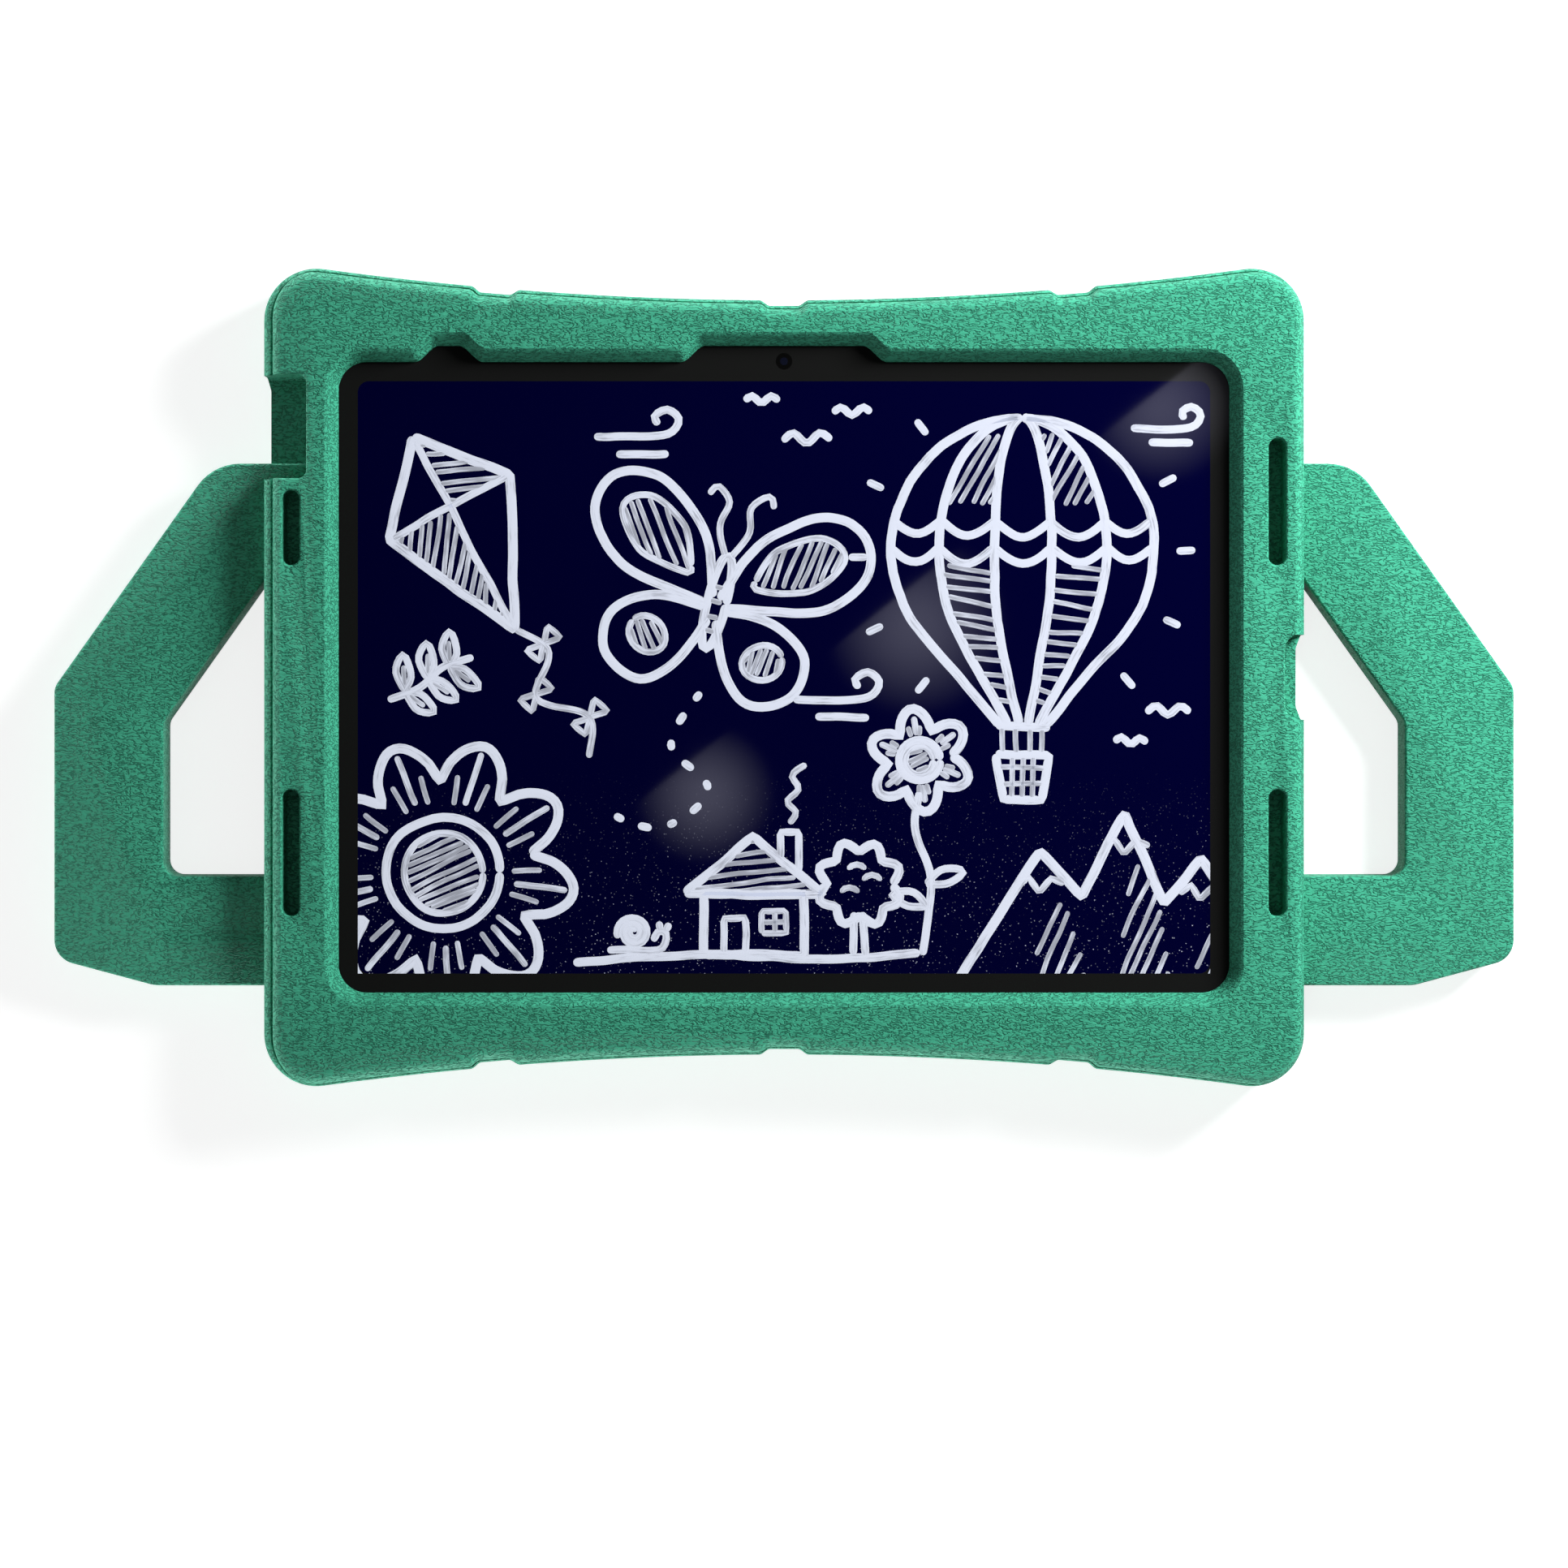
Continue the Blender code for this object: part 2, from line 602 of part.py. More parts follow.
def make_housing():
    """Metal tray of the tablet, with its holes for port, buttons and rear camera."""
    metal = make_material("tablet_metal", (0.52, 0.54, 0.56), 0.38, 1.0)
    outline = rectangle(-TABLET_X, TABLET_X, -TABLET_Y, TABLET_Y, TABLET_CORNER)
    housing = loft("tablet_housing", [(inset(outline, TABLET_BACK_ROUND), HOUSING_Z),
                                      (outline, HOUSING_Z + TABLET_BACK_ROUND),
                                      (outline, HOUSING_RIM_Z)], metal)
    inside = rectangle(-INSIDE_X, INSIDE_X, -INSIDE_Y, INSIDE_Y, TABLET_CORNER - HOUSING_WALL)
    cut(housing, plate("housing_cutter", inside, HOUSING_Z + HOUSING_FLOOR, HOUSING_RIM_Z + OVERCUT))
    cut(housing, plate("camera_bore_cutter", circle(CAMERA_X, CAMERA_Y, CAMERA_BARREL_RADIUS + FIT),
                       HOUSING_Z - OVERCUT, INNER_Z + OVERCUT))
    half_width = PORT_WIDTH / 2.0 + FIT
    half_height = PORT_HEIGHT / 2.0 + FIT
    cut(housing, block("port_slot_cutter", (INSIDE_X - OVERCUT, TABLET_X + OVERCUT),
                       (-half_width, half_width),
                       (SIDE_MIDDLE_Z - half_height, SIDE_MIDDLE_Z + half_height)))
    cut(housing, button_slot("power_slot_cutter", 'left', POWER_Y, POWER_BUTTON_LENGTH))
    for name, middle in volume_middles().items():
        cut(housing, button_slot(name + "_slot_cutter", 'top', middle, VOLUME_BUTTON_LENGTH))
    shade(housing)


def make_glass_and_display():
    """Front glass, and the display panel bonded behind it."""
    glass = make_material("cover_glass", (0.012, 0.013, 0.013), 0.08)
    outline = rectangle(-TABLET_X, TABLET_X, -TABLET_Y, TABLET_Y, TABLET_CORNER)
    shade(plate("cover_glass", outline, GLASS_Z, GLASS_TOP_Z, glass))
    screen = make_material("display", (0.002, 0.002, 0.03), 0.2)
    half_x = SCREEN_LENGTH / 2.0 + SCREEN_MARGIN
    half_y = SCREEN_WIDTH / 2.0 + SCREEN_MARGIN
    block("display_panel", (-half_x, half_x), (-half_y, half_y),
          (PANEL_TOP_Z - PANEL_THICKNESS, PANEL_TOP_Z), screen)


def make_cameras():
    """Front camera under the glass, rear camera through the housing, and its lens cover."""
    black = make_material("camera_black", (0.01, 0.01, 0.011), 0.3)
    clear = make_material("lens_glass", (0.02, 0.025, 0.04), 0.05)
    front_y = TABLET_Y - FRONT_CAMERA_INSET
    shade(plate("front_camera", circle(0.0, front_y, FRONT_CAMERA_RADIUS),
                PANEL_TOP_Z - FRONT_CAMERA_DEPTH, PANEL_TOP_Z, black))
    back_z = HOUSING_Z - CAMERA_PROUD
    seat_z = back_z + CAMERA_GLASS_DEPTH + FIT
    body = circle(CAMERA_X, CAMERA_Y, CAMERA_RADIUS)
    barrel = circle(CAMERA_X, CAMERA_Y, CAMERA_BARREL_RADIUS)
    module = loft("rear_camera_module", [(barrel, back_z), (barrel, INNER_Z), (body, INNER_Z),
                                         (body, INNER_Z + INNER_HEIGHT)], black)
    cut(module, plate("lens_seat_cutter", circle(CAMERA_X, CAMERA_Y, CAMERA_GLASS_RADIUS + FIT),
                      back_z - OVERCUT, seat_z))
    shade(module)
    shade(plate("rear_camera_lens", circle(CAMERA_X, CAMERA_Y, CAMERA_GLASS_RADIUS),
                back_z, back_z + CAMERA_GLASS_DEPTH, clear))


def make_battery():
    """Two flat cells side by side, between the logic board and the port board."""
    wrap = make_material("battery_wrap", (0.05, 0.05, 0.055), 0.5)
    x_low = BOARD_X + BOARD_LENGTH + BATTERY_GAP
    x_high = PORT_BOARD_X - BATTERY_GAP
    middle = (x_low + x_high) / 2.0
    half_y = INSIDE_Y - BATTERY_TO_SIDE
    for name, x_range in (("battery_cell_left", (x_low, middle - BATTERY_GAP / 2.0)),
                          ("battery_cell_right", (middle + BATTERY_GAP / 2.0, x_high))):
        block(name, x_range, (-half_y, half_y), (INNER_Z, INNER_Z + INNER_HEIGHT), wrap,
              radius=BATTERY_CORNER)


def make_logic_board():
    """Circuit board with a column of chips, beside the battery."""
    green = make_material("circuit_board", (0.015, 0.09, 0.05), 0.5)
    half_y = INSIDE_Y - BOARD_TO_SIDE
    board = block("logic_board", (BOARD_X, BOARD_X + BOARD_LENGTH), (-half_y, half_y),
                  (INNER_Z, INNER_Z + BOARD_THICKNESS), green)
    middle_x = BOARD_X + BOARD_LENGTH / 2.0
    half = CHIP_SIZE / 2.0
    for index in range(CHIP_COUNT):
        y = (index - (CHIP_COUNT - 1) / 2.0) * CHIP_PITCH
        join(board, block(f"chip_{index + 1}", (middle_x - half, middle_x + half), (y - half, y + half),
                          (INNER_Z + BOARD_THICKNESS / 2.0, INNER_Z + BOARD_THICKNESS + CHIP_HEIGHT)))


def make_speakers():
    """Four speakers against the short sides, facing the sound channels."""
    black = make_material("speaker_black", (0.02, 0.02, 0.02), 0.6)
    outer = INSIDE_X - FIT
    half = SPEAKER_LENGTH / 2.0
    middles = {("left", "top"): min(SLOT_Y, SHORT_SLOT_END - half), ("left", "bottom"): -SLOT_Y,
               ("right", "top"): SLOT_Y, ("right", "bottom"): -SLOT_Y}
    for (side_name, end_name), middle in middles.items():
        side = -1.0 if side_name == "left" else 1.0
        block(f"speaker_{side_name}_{end_name}", (side * (outer - SPEAKER_DEPTH), side * outer),
              (middle - half, middle + half), (INNER_Z, INNER_Z + INNER_HEIGHT), black)


def make_port():
    """Charging port: metal shell, its tongue, and the board behind it."""
    metal = make_material("port_metal", (0.6, 0.6, 0.62), 0.3, 1.0)
    dark = make_material("port_tongue", (0.02, 0.02, 0.02), 0.5)
    green = make_material("port_board", (0.015, 0.09, 0.05), 0.5)
    mouth_x = TABLET_X
    back_x = PORT_X
    half_width = PORT_WIDTH / 2.0
    half_height = PORT_HEIGHT / 2.0
    shell = block("usb_port", (back_x, mouth_x), (-half_width, half_width),
                  (SIDE_MIDDLE_Z - half_height, SIDE_MIDDLE_Z + half_height), metal)
    cut(shell, block("socket_cutter", (back_x + PORT_BACK, mouth_x + OVERCUT),
                     (-half_width + PORT_WALL, half_width - PORT_WALL),
                     (SIDE_MIDDLE_Z - half_height + PORT_WALL, SIDE_MIDDLE_Z + half_height - PORT_WALL)))
    tongue_x = back_x + PORT_BACK + FIT
    block("usb_port_tongue", (tongue_x, tongue_x + TONGUE_LENGTH),
          (-TONGUE_WIDTH / 2.0, TONGUE_WIDTH / 2.0),
          (SIDE_MIDDLE_Z - TONGUE_THICKNESS / 2.0, SIDE_MIDDLE_Z + TONGUE_THICKNESS / 2.0), dark)
    block("port_board", (PORT_BOARD_X, PORT_BOARD_X + PORT_BOARD_LENGTH),
          (-PORT_BOARD_WIDTH / 2.0, PORT_BOARD_WIDTH / 2.0),
          (INNER_Z, INNER_Z + BOARD_THICKNESS), green)


def make_button(name, facing, middle, length, material):
    """Button cap with a flange behind the housing wall that keeps it in."""
    half = length / 2.0
    half_height = BUTTON_HEIGHT / 2.0
    heights = (SIDE_MIDDLE_Z - half_height, SIDE_MIDDLE_Z + half_height)
    flange_heights = (heights[0] - BUTTON_FLANGE / 2.0, heights[1] + BUTTON_FLANGE / 2.0)
    cap_span = (middle - half, middle + half)
    flange_span = (middle - half - BUTTON_FLANGE, middle + half + BUTTON_FLANGE)
    if facing == 'left':
        face = -(TABLET_X + BUTTON_PROUD)
        flange_face = -(INSIDE_X - FIT)
        back = flange_face + BUTTON_FLANGE_THICKNESS
        cap = block(name, (face, flange_face + BUTTON_FLANGE_THICKNESS / 2.0), cap_span, heights, material)
        flange = block(name + "_flange", (flange_face, back), flange_span, flange_heights)
    else:
        face = TABLET_Y + BUTTON_PROUD
        flange_face = INSIDE_Y - FIT
        back = flange_face - BUTTON_FLANGE_THICKNESS
        cap = block(name, cap_span, (flange_face - BUTTON_FLANGE_THICKNESS / 2.0, face), heights, material)
        flange = block(name + "_flange", flange_span, (back, flange_face), flange_heights)
    join(cap, flange)


def make_buttons():
    """Power and volume buttons, and the switches that they press."""
    metal = make_material("button_metal", (0.52, 0.54, 0.56), 0.35, 1.0)
    dark = make_material("switch_black", (0.03, 0.03, 0.03), 0.5)
    make_button("power_button", 'left', POWER_Y, POWER_BUTTON_LENGTH, metal)
    for name, middle in volume_middles().items():
        make_button(name + "_button", 'top', middle, VOLUME_BUTTON_LENGTH, metal)
    clear = FIT + BUTTON_FLANGE_THICKNESS + BUTTON_TRAVEL + FIT
    heights = (INNER_Z, INNER_Z + INNER_HEIGHT)
    half = POWER_BUTTON_LENGTH / 2.0
    block("power_switch", (-(INSIDE_X - clear), -(INSIDE_X - clear - SWITCH_DEPTH)),
          (POWER_Y - half, POWER_Y + half), heights, dark)
    half = (VOLUME_BUTTON_PITCH + VOLUME_BUTTON_LENGTH) / 2.0
    block("volume_switch", (VOLUME_X - half, VOLUME_X + half),
          (INSIDE_Y - clear - SWITCH_DEPTH, INSIDE_Y - clear), heights, dark)


def main():
    """Build the whole model."""
    clear_scene()
    make_case()
    make_housing()
    make_glass_and_display()
    make_cameras()
    make_battery()
    make_logic_board()
    make_speakers()
    make_port()
    make_buttons()


main()
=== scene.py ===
"""Looks of a children's foam tablet case with two side arms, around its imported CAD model.

The case lies on its back. Seen from the front, +X is right, +Y is up and +Z comes out
of the screen. Each operator makes one piece, one group of finishes or the stage.
"""

import math
import random

import bmesh
import bpy
from bpy.props import FloatProperty, FloatVectorProperty, IntProperty, PointerProperty
from bpy.types import Operator, Panel, PropertyGroup
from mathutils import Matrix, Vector


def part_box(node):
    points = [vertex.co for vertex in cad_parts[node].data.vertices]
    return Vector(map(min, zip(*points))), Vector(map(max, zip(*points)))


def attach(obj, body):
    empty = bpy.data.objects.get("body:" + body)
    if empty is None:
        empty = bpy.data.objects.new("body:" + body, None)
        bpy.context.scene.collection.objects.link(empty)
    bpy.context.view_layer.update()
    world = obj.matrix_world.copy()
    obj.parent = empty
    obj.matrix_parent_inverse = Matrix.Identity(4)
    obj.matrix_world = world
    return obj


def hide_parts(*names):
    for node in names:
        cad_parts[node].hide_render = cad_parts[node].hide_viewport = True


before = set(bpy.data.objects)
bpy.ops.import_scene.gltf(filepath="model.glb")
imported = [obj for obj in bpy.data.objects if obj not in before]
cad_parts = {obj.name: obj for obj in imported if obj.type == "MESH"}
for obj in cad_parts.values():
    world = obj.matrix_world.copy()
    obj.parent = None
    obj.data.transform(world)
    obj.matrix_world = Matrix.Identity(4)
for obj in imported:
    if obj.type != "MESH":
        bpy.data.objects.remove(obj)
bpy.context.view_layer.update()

bl_info = {
    "name": "Foam Tablet Case",
    "version": (1, 0, 0),
    "blender": (4, 5, 0),
    "location": "View3D > Sidebar > Tablet Case",
    "description": "Foam tablet case with side arms, and the tablet in it",
    "category": "Object",
}

MM = 0.001
BODY = "case_and_tablet"
GAP = 0.3 * MM
OVERCUT = 2.0 * MM
ARC_STEP = math.radians(7.5)

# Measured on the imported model
CASE_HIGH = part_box("case")[1]
TABLET_LOW, TABLET_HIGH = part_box("tablet_housing")
GLASS_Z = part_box("cover_glass")[1].z
PANEL_LOW, PANEL_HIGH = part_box("display_panel")
TABLET_X = TABLET_HIGH.x
TABLET_Y = TABLET_HIGH.y
FRONT_Z = CASE_HIGH.z
CORNER_Y = CASE_HIGH.y

# Frame of the case
POCKET_X = TABLET_X + GAP
POCKET_Y = TABLET_Y + GAP
CASE_X = POCKET_X + 13.9 * MM
WAIST_Y = POCKET_Y + 10.45 * MM
CASE_CORNER = 14.0 * MM
TABLET_CORNER = 14.0 * MM
POCKET_FLOOR_Z = TABLET_LOW.z - GAP
LIP_Z = GLASS_Z + GAP
BACK_ROUND = 1.5 * MM
FRONT_ROUND = 3.0 * MM
SEAM_Z = FRONT_Z - 5.0 * MM
SEAM_SETBACK = {"left": 2.4 * MM, "right": 0.5 * MM, "top": 0.9 * MM, "bottom": 0.5 * MM}
# Groove at the seam, from low to high, as (distance inwards, share of the setback, rise)
SEAM_STEPS = ((0.0, 0.0, -2.0 * MM), (0.03 * MM, 0.08, -1.3 * MM), (0.08 * MM, 0.24, -0.7 * MM),
              (0.16 * MM, 0.48, -0.2 * MM), (0.24 * MM, 0.74, 0.0), (0.34 * MM, 0.86, -0.3 * MM),
              (0.5 * MM, 0.94, -0.3 * MM), (0.5 * MM, 1.0, 0.5 * MM))

# Grip notches in the long edges
NOTCH_MIDDLES = (-76.8 * MM, 0.0, 76.8 * MM)
NOTCH_FLAT = 8.0 * MM
NOTCH_SLOPE = 2.3 * MM
NOTCH_DEPTH = 1.5 * MM
NOTCH_EASE = 0.15 * NOTCH_SLOPE

# Lip over the glass, with its recesses as (middle, flat length)
SIGHT_X = TABLET_X - 6.0 * MM
SIGHT_Y = TABLET_Y - 6.0 * MM
SIGHT_CORNER = 7.5 * MM
LIP_SLOPE = 2.9 * MM
# Rounded rim at the top of the slope, as (distance outwards, depth)
LIP_RIM = ((-0.1106 * MM, 0.3284 * MM), (0.1 * MM, 0.2312 * MM), (0.2562 * MM, 0.05 * MM),
           (0.3261 * MM, 0.01 * MM), (0.7 * MM, -0.03 * MM), (0.75 * MM, -OVERCUT))
RECESSES = ((0.0, 43.1 * MM), (-(TABLET_X - 35.3 * MM), 6.5 * MM))
RECESS_RISE = 4.3 * MM
RECESS_SLOPE = 5.2 * MM
RECESS_EASE = 0.12 * RECESS_SLOPE

# Sound slots
SLOT_WIDTH = 4.6 * MM
SLOT_X = CASE_X - 8.0 * MM
SLOT_FAR = TABLET_Y - 26.55 * MM
SLOT_NEAR = SLOT_FAR - 33.5 * MM
SLOT_FLOOR_Z = 12.4 * MM
SLOT_CLEARANCE = 3.2 * MM

# Cutouts for the power button and for the plug
LEDGE_Z = 9.0 * MM
POWER_CUT_X = CASE_X - 12.1 * MM
POWER_CUT_HIGH = TABLET_Y - 9.45 * MM
POWER_CUT_LOW = POWER_CUT_HIGH - 27.6 * MM
POWER_CUT_CORNER = 2.3 * MM
POWER_STEP = 1.0 * MM
PORT_CUT_X = CASE_X - 6.0 * MM
PORT_CUT_Y = 11.3 * MM
PORT_CUT_CORNER = 4.0 * MM
PORT_STEP = 1.3 * MM
STEP_END = 3.5 * MM
STEP_CORNER = 2.5 * MM

# Openings from the cutouts to the tablet's side, at its height, as (half length, half height)
SIDE_Z = TABLET_LOW.z + 2.95 * MM
BUTTON_WINDOW = (9.0 * MM, 2.2 * MM)
PLUG_WINDOW = (6.5 * MM, 2.8 * MM)

# Hole behind the rear camera, as radii at the back and at the pocket's floor
CAMERA_HOLE_BACK = 12.6 * MM
CAMERA_HOLE_FLOOR = 8.4 * MM

# Side arms
ARM_LOW_Z = 0.3 * MM
ARM_TOP_Z = 12.0 * MM
ARM_BAND = 29.2 * MM
ARM_TIP_X = CASE_X + 56.7 * MM
ARM_TOP = 57.2 * MM
ARM_BOTTOM = -82.4 * MM
ARM_SHOULDER = -2.6 * MM
ARM_SLOPE = math.radians(54.6)
ARM_HEEL = 26.8 * MM
ARM_HEEL_ANGLE = math.radians(15.0)
ARM_EDGE = 0.8 * MM
ARM_ROOT_X = POCKET_X + 1.4 * MM

# Screen
SCREEN_MARGIN = 1.2 * MM
SCREEN_CORNER = 3.0 * MM
DUST_COLOUR = (0.42, 0.44, 0.56, 1.0)
DUST_TOP_Y = -22.0 * MM
DUST_FULL_Y = -76.0 * MM
PUPIL_COLOUR = (0.004, 0.005, 0.012, 1.0)

# What the photograph shows from side to side, at the height of the glass
PHOTO_WIDTH = 416.7 * MM
PHOTO_SHIFT = -0.068

# Stage: places in metres, and each strip as (name, x, y, share of the power)
FLOOR_REACH = 6.0
FLOOR_GREY = 0.5
FLOOR_GLOW = 0.8
KEY_PLACE = (0.515, 0.345, 0.325)
KEY_SIZE = 0.25
RIM_PLACE = (-0.62, -0.66, 0.11)
RIM_SIZE = 0.2
STRIPS = (("lower_strip", -0.05, -0.62, 1.3), ("upper_strip", -0.3, 0.6, 1.5),
          ("left_strip", -0.75, 0.0, 1.2))
STRIP_LEVEL = FRONT_Z - 16.0 * MM
STRIP_LENGTH = 0.4
STRIP_HEIGHT = 12.0 * MM

# Reflection on the glass: the line that ends it, and its patches as (x, y, radius)
GLARE_COLOUR = (0.82, 0.82, 1.0, 1.0)
GLARE_REACH = 0.13
GLARE_SLANT = math.radians(38.4)
GLARE_EDGE = (-10.0 * MM, -10.5 * MM)
GLARE_PATCHES = ((35.0 * MM, 14.0 * MM, 26.0 * MM), (-21.0 * MM, -31.0 * MM, 20.0 * MM),
                 (100.0 * MM, 72.0 * MM, 22.0 * MM))


def length_property(name, description, lowest, highest, default):
    """Property for a length, given here in millimetres."""
    return FloatProperty(
        name=name, description=description, subtype='DISTANCE', unit='LENGTH',
        min=lowest * MM, max=highest * MM, default=default * MM)


def colour_property(name, description, *default):
    """Property for a colour."""
    return FloatVectorProperty(
        name=name, description=description, subtype='COLOR', size=3, min=0.0, max=1.0,
        default=default)


def light_property(name, description, highest, default):
    """Property for a lamp's power in watts, or for the strength of a glow."""
    return FloatProperty(name=name, description=description, min=0.0, max=highest, default=default)


class FoamSettings(PropertyGroup):
    """Sizes and colours of the foam case."""
    colour: colour_property("Foam Colour", "Colour of the foam", 0.045, 0.308, 0.193)
    rim_round: length_property(
        "Rim Round", "Rounding of the rims of slots and cutouts", 0.1, 1.2, 0.6)
    floor_round: length_property(
        "Floor Round", "Rounding between a cutout's wall and its floor", 0.1, 1.5, 0.9)
    grain_length: length_property(
        "Grain Length", "Length of one wrinkle of the leather grain", 0.5, 6.0, 1.4)
    grain_width: length_property(
        "Grain Width", "Width of one wrinkle of the leather grain", 0.3, 4.0, 0.62)
    grain_depth: length_property(
        "Grain Depth", "Depth of the creases between the wrinkles", 0.0, 1.0, 0.26)


class ScreenSettings(PropertyGroup):
    """Sizes and colours of the tablet's front."""
    border_colour: colour_property(
        "Border Colour", "Print behind the edge of the glass", 0.0084, 0.0086, 0.0084)
    picture_colour: colour_property(
        "Picture Colour", "Ground colour of the picture", 0.0004, 0.0004, 0.0212)
    chalk_colour: colour_property("Chalk Colour", "Colour of the drawn lines", 0.74, 0.79, 0.91)
    stroke_width: length_property("Stroke Width", "Width of a drawn line", 0.5, 6.0, 2.35)
    stroke_height: length_property(
        "Stroke Height", "How far a drawn line stands out of the glass", 0.01, 0.2, 0.04)
    wobble: length_property("Wobble", "How far the drawing hand strays", 0.0, 6.0, 1.8)
    seed: IntProperty(name="Hand Seed", description="Seed of the unsteady hand", default=7, min=0)


class StudioSettings(PropertyGroup):
    """Lamps, floor and camera."""
    key_power: light_property("Key Light", "Large lamp at the upper right, in watts", 200.0, 10.0)
    fill_strength: light_property("Fill", "Light from all around", 2.0, 0.06)
    zenith_strength: light_property("Zenith", "Soft light from straight above", 4.0, 0.5)
    horizon_strength: light_property("Horizon", "Light from low down all around", 4.0, 0.4)
    rim_power: light_property("Rim Light", "Low lamp at the lower left, in watts", 50.0, 1.1)
    edge_power: light_property(
        "Edge Lights", "Strips of light that graze the rim, in watts", 50.0, 2.7)
    glare_strength: light_property("Glare", "Card of light that the glass reflects", 20.0, 4.0)
    camera_height: length_property(
        "Camera Height", "Height of the camera over the front of the case", 300.0, 5000.0, 900.0)


class Value:
    """A node's output, with arithmetic that adds Math nodes to its tree."""

    def __init__(self, graph, socket):
        self.graph = graph
        self.socket = socket

    def math(self, operation, *others):
        inputs = dict(enumerate((self, *others)))
        return self.graph.node("ShaderNodeMath", {"operation": operation}, inputs)

    def __add__(self, other):
        return self.math('ADD', other)

    def __radd__(self, other):
        return self.math('ADD', other)

    def __sub__(self, other):
        return self.math('SUBTRACT', other)

    def __rsub__(self, other):
        inputs = {0: other, 1: self}
        return self.graph.node("ShaderNodeMath", {"operation": 'SUBTRACT'}, inputs)

    def __mul__(self, other):
        return self.math('MULTIPLY', other)

    def __rmul__(self, other):
        return self.math('MULTIPLY', other)

    def __truediv__(self, other):
        return self.math('DIVIDE', other)

    def __pow__(self, other):
        return self.math('POWER', other)

    def step(self, low, high):
        """Smooth rise from 0 at low to 1 at high."""
        inputs = {"Value": self, "From Min": low, "From Max": high}
        return self.graph.node("ShaderNodeMapRange", {"interpolation_type": 'SMOOTHSTEP'}, inputs)


class Graph:
    """A node tree that is filled through one method."""

    def __init__(self, tree):
        self.tree = tree

    def node(self, kind, settings=None, inputs=None, output=0):
        item = self.tree.nodes.new(kind)
        for name, value in (settings or {}).items():
            setattr(item, name, value)
        for key, value in (inputs or {}).items():
            if isinstance(value, Value):
                self.tree.links.new(value.socket, item.inputs[key])
            else:
                item.inputs[key].default_value = value
        return Value(self, item.outputs[output]) if item.outputs else None

    def place(self):
        return self.node("ShaderNodeTexCoord", output="Object")

    def part(self, vector, axis):
        """One coordinate of a vector."""
        return self.node("ShaderNodeSeparateXYZ", None, {0: vector}, axis)

    def ray(self, kind):
        """1 for this kind of ray, 0 for all others."""
        return self.node("ShaderNodeLightPath", output=kind)

    def vector(self, operation, first, second):
        return self.node("ShaderNodeVectorMath", {"operation": operation}, {0: first, 1: second})

    def noise(self, place, size, detail=2.0, roughness=0.5, output="Fac"):
        inputs = {"Vector": place, "Scale": 1.0 / size, "Detail": detail, "Roughness": roughness}
        return self.node("ShaderNodeTexNoise", None, inputs, output)

    def cells(self, place, size):
        """Distance to the middle of the nearest of many scattered cells, in their own size."""
        inputs = {"Vector": place, "Scale": 1.0 / size}
        return self.node("ShaderNodeTexVoronoi", {"feature": 'F1'}, inputs, "Distance")

    def mix(self, factor, first, second):
        """Blend of two colours."""
        inputs = {0: factor, 6: first, 7: second}
        return self.node("ShaderNodeMix", {"data_type": 'RGBA'}, inputs, 2)

    def warped(self, place, size, amount):
        """Place pushed about by a noise of this size."""
        push = self.vector('SUBTRACT', self.noise(place, size, output="Color"), (0.5, 0.5, 0.5))
        return self.vector('ADD', place, self.vector('MULTIPLY', push, (amount,) * 3))

    def bump(self, height, depth):
        return self.node("ShaderNodeBump", None, {"Height": height, "Distance": depth})


def material_graph(name, colour, roughness, **constants):
    """New material: its graph and its shader, with what is the same all over already set."""
    material = bpy.data.materials.new(name)
    material.use_nodes = True
    material.diffuse_color = (*colour, 1.0)
    shader = material.node_tree.nodes["Principled BSDF"]
    shader.inputs["Base Color"].default_value = (*colour, 1.0)
    shader.inputs["Roughness"].default_value = roughness
    for socket, value in constants.items():
        shader.inputs[socket.replace("_", " ")].default_value = value
    return material, Graph(material.node_tree), shader


def bare_graph(owner):
    """Empty node tree of a new material or world."""
    owner.use_nodes = True
    owner.node_tree.nodes.clear()
    return Graph(owner.node_tree)


def feed(graph, shader, **values):
    """Link values that change over the surface to the shader."""
    for socket, value in values.items():
        graph.tree.links.new(value.socket, shader.inputs[socket.replace("_", " ")])


def shades(colour, *factors):
    """The colour times each factor, as socket values."""
    return [tuple(min(1.0, part * factor) for part in colour) + (1.0,) for factor in factors]


def rounded(corners):
    """Closed outline through corners given as (x, y, radius), radius 0 for a sharp one."""
    points = []
    count = len(corners)
    for index, (x, y, radius) in enumerate(corners):
        corner = Vector((x, y))
        if radius <= 0.0:
            points.append(corner)
            continue
        before = (Vector(corners[index - 1][:2]) - corner).normalized()
        after = (Vector(corners[(index + 1) % count][:2]) - corner).normalized()
        turn = math.pi - before.angle(after)
        middle = corner + (before + after).normalized() * radius / math.cos(turn / 2.0)
        start = corner + before * radius * math.tan(turn / 2.0) - middle
        side = 1.0 if before.cross(after) < 0.0 else -1.0
        steps = max(3, round(turn / ARC_STEP))
        for step in range(steps + 1):
            angle = side * turn * step / steps
            spoke = Vector((start.x * math.cos(angle) - start.y * math.sin(angle),
                            start.x * math.sin(angle) + start.y * math.cos(angle)))
            points.append(middle + spoke)
    return points


def rectangle(x_low, x_high, y_low, y_high, radius=0.0):
    """Outline of an upright rectangle, anticlockwise."""
    return rounded([(x_low, y_low, radius), (x_high, y_low, radius),
                    (x_high, y_high, radius), (x_low, y_high, radius)])


def circle(x, y, radius):
    """Outline of a circle, anticlockwise."""
    sides = 48
    turns = (2.0 * math.pi * index / sides for index in range(sides))
    return [Vector((x + radius * math.cos(turn), y + radius * math.sin(turn))) for turn in turns]


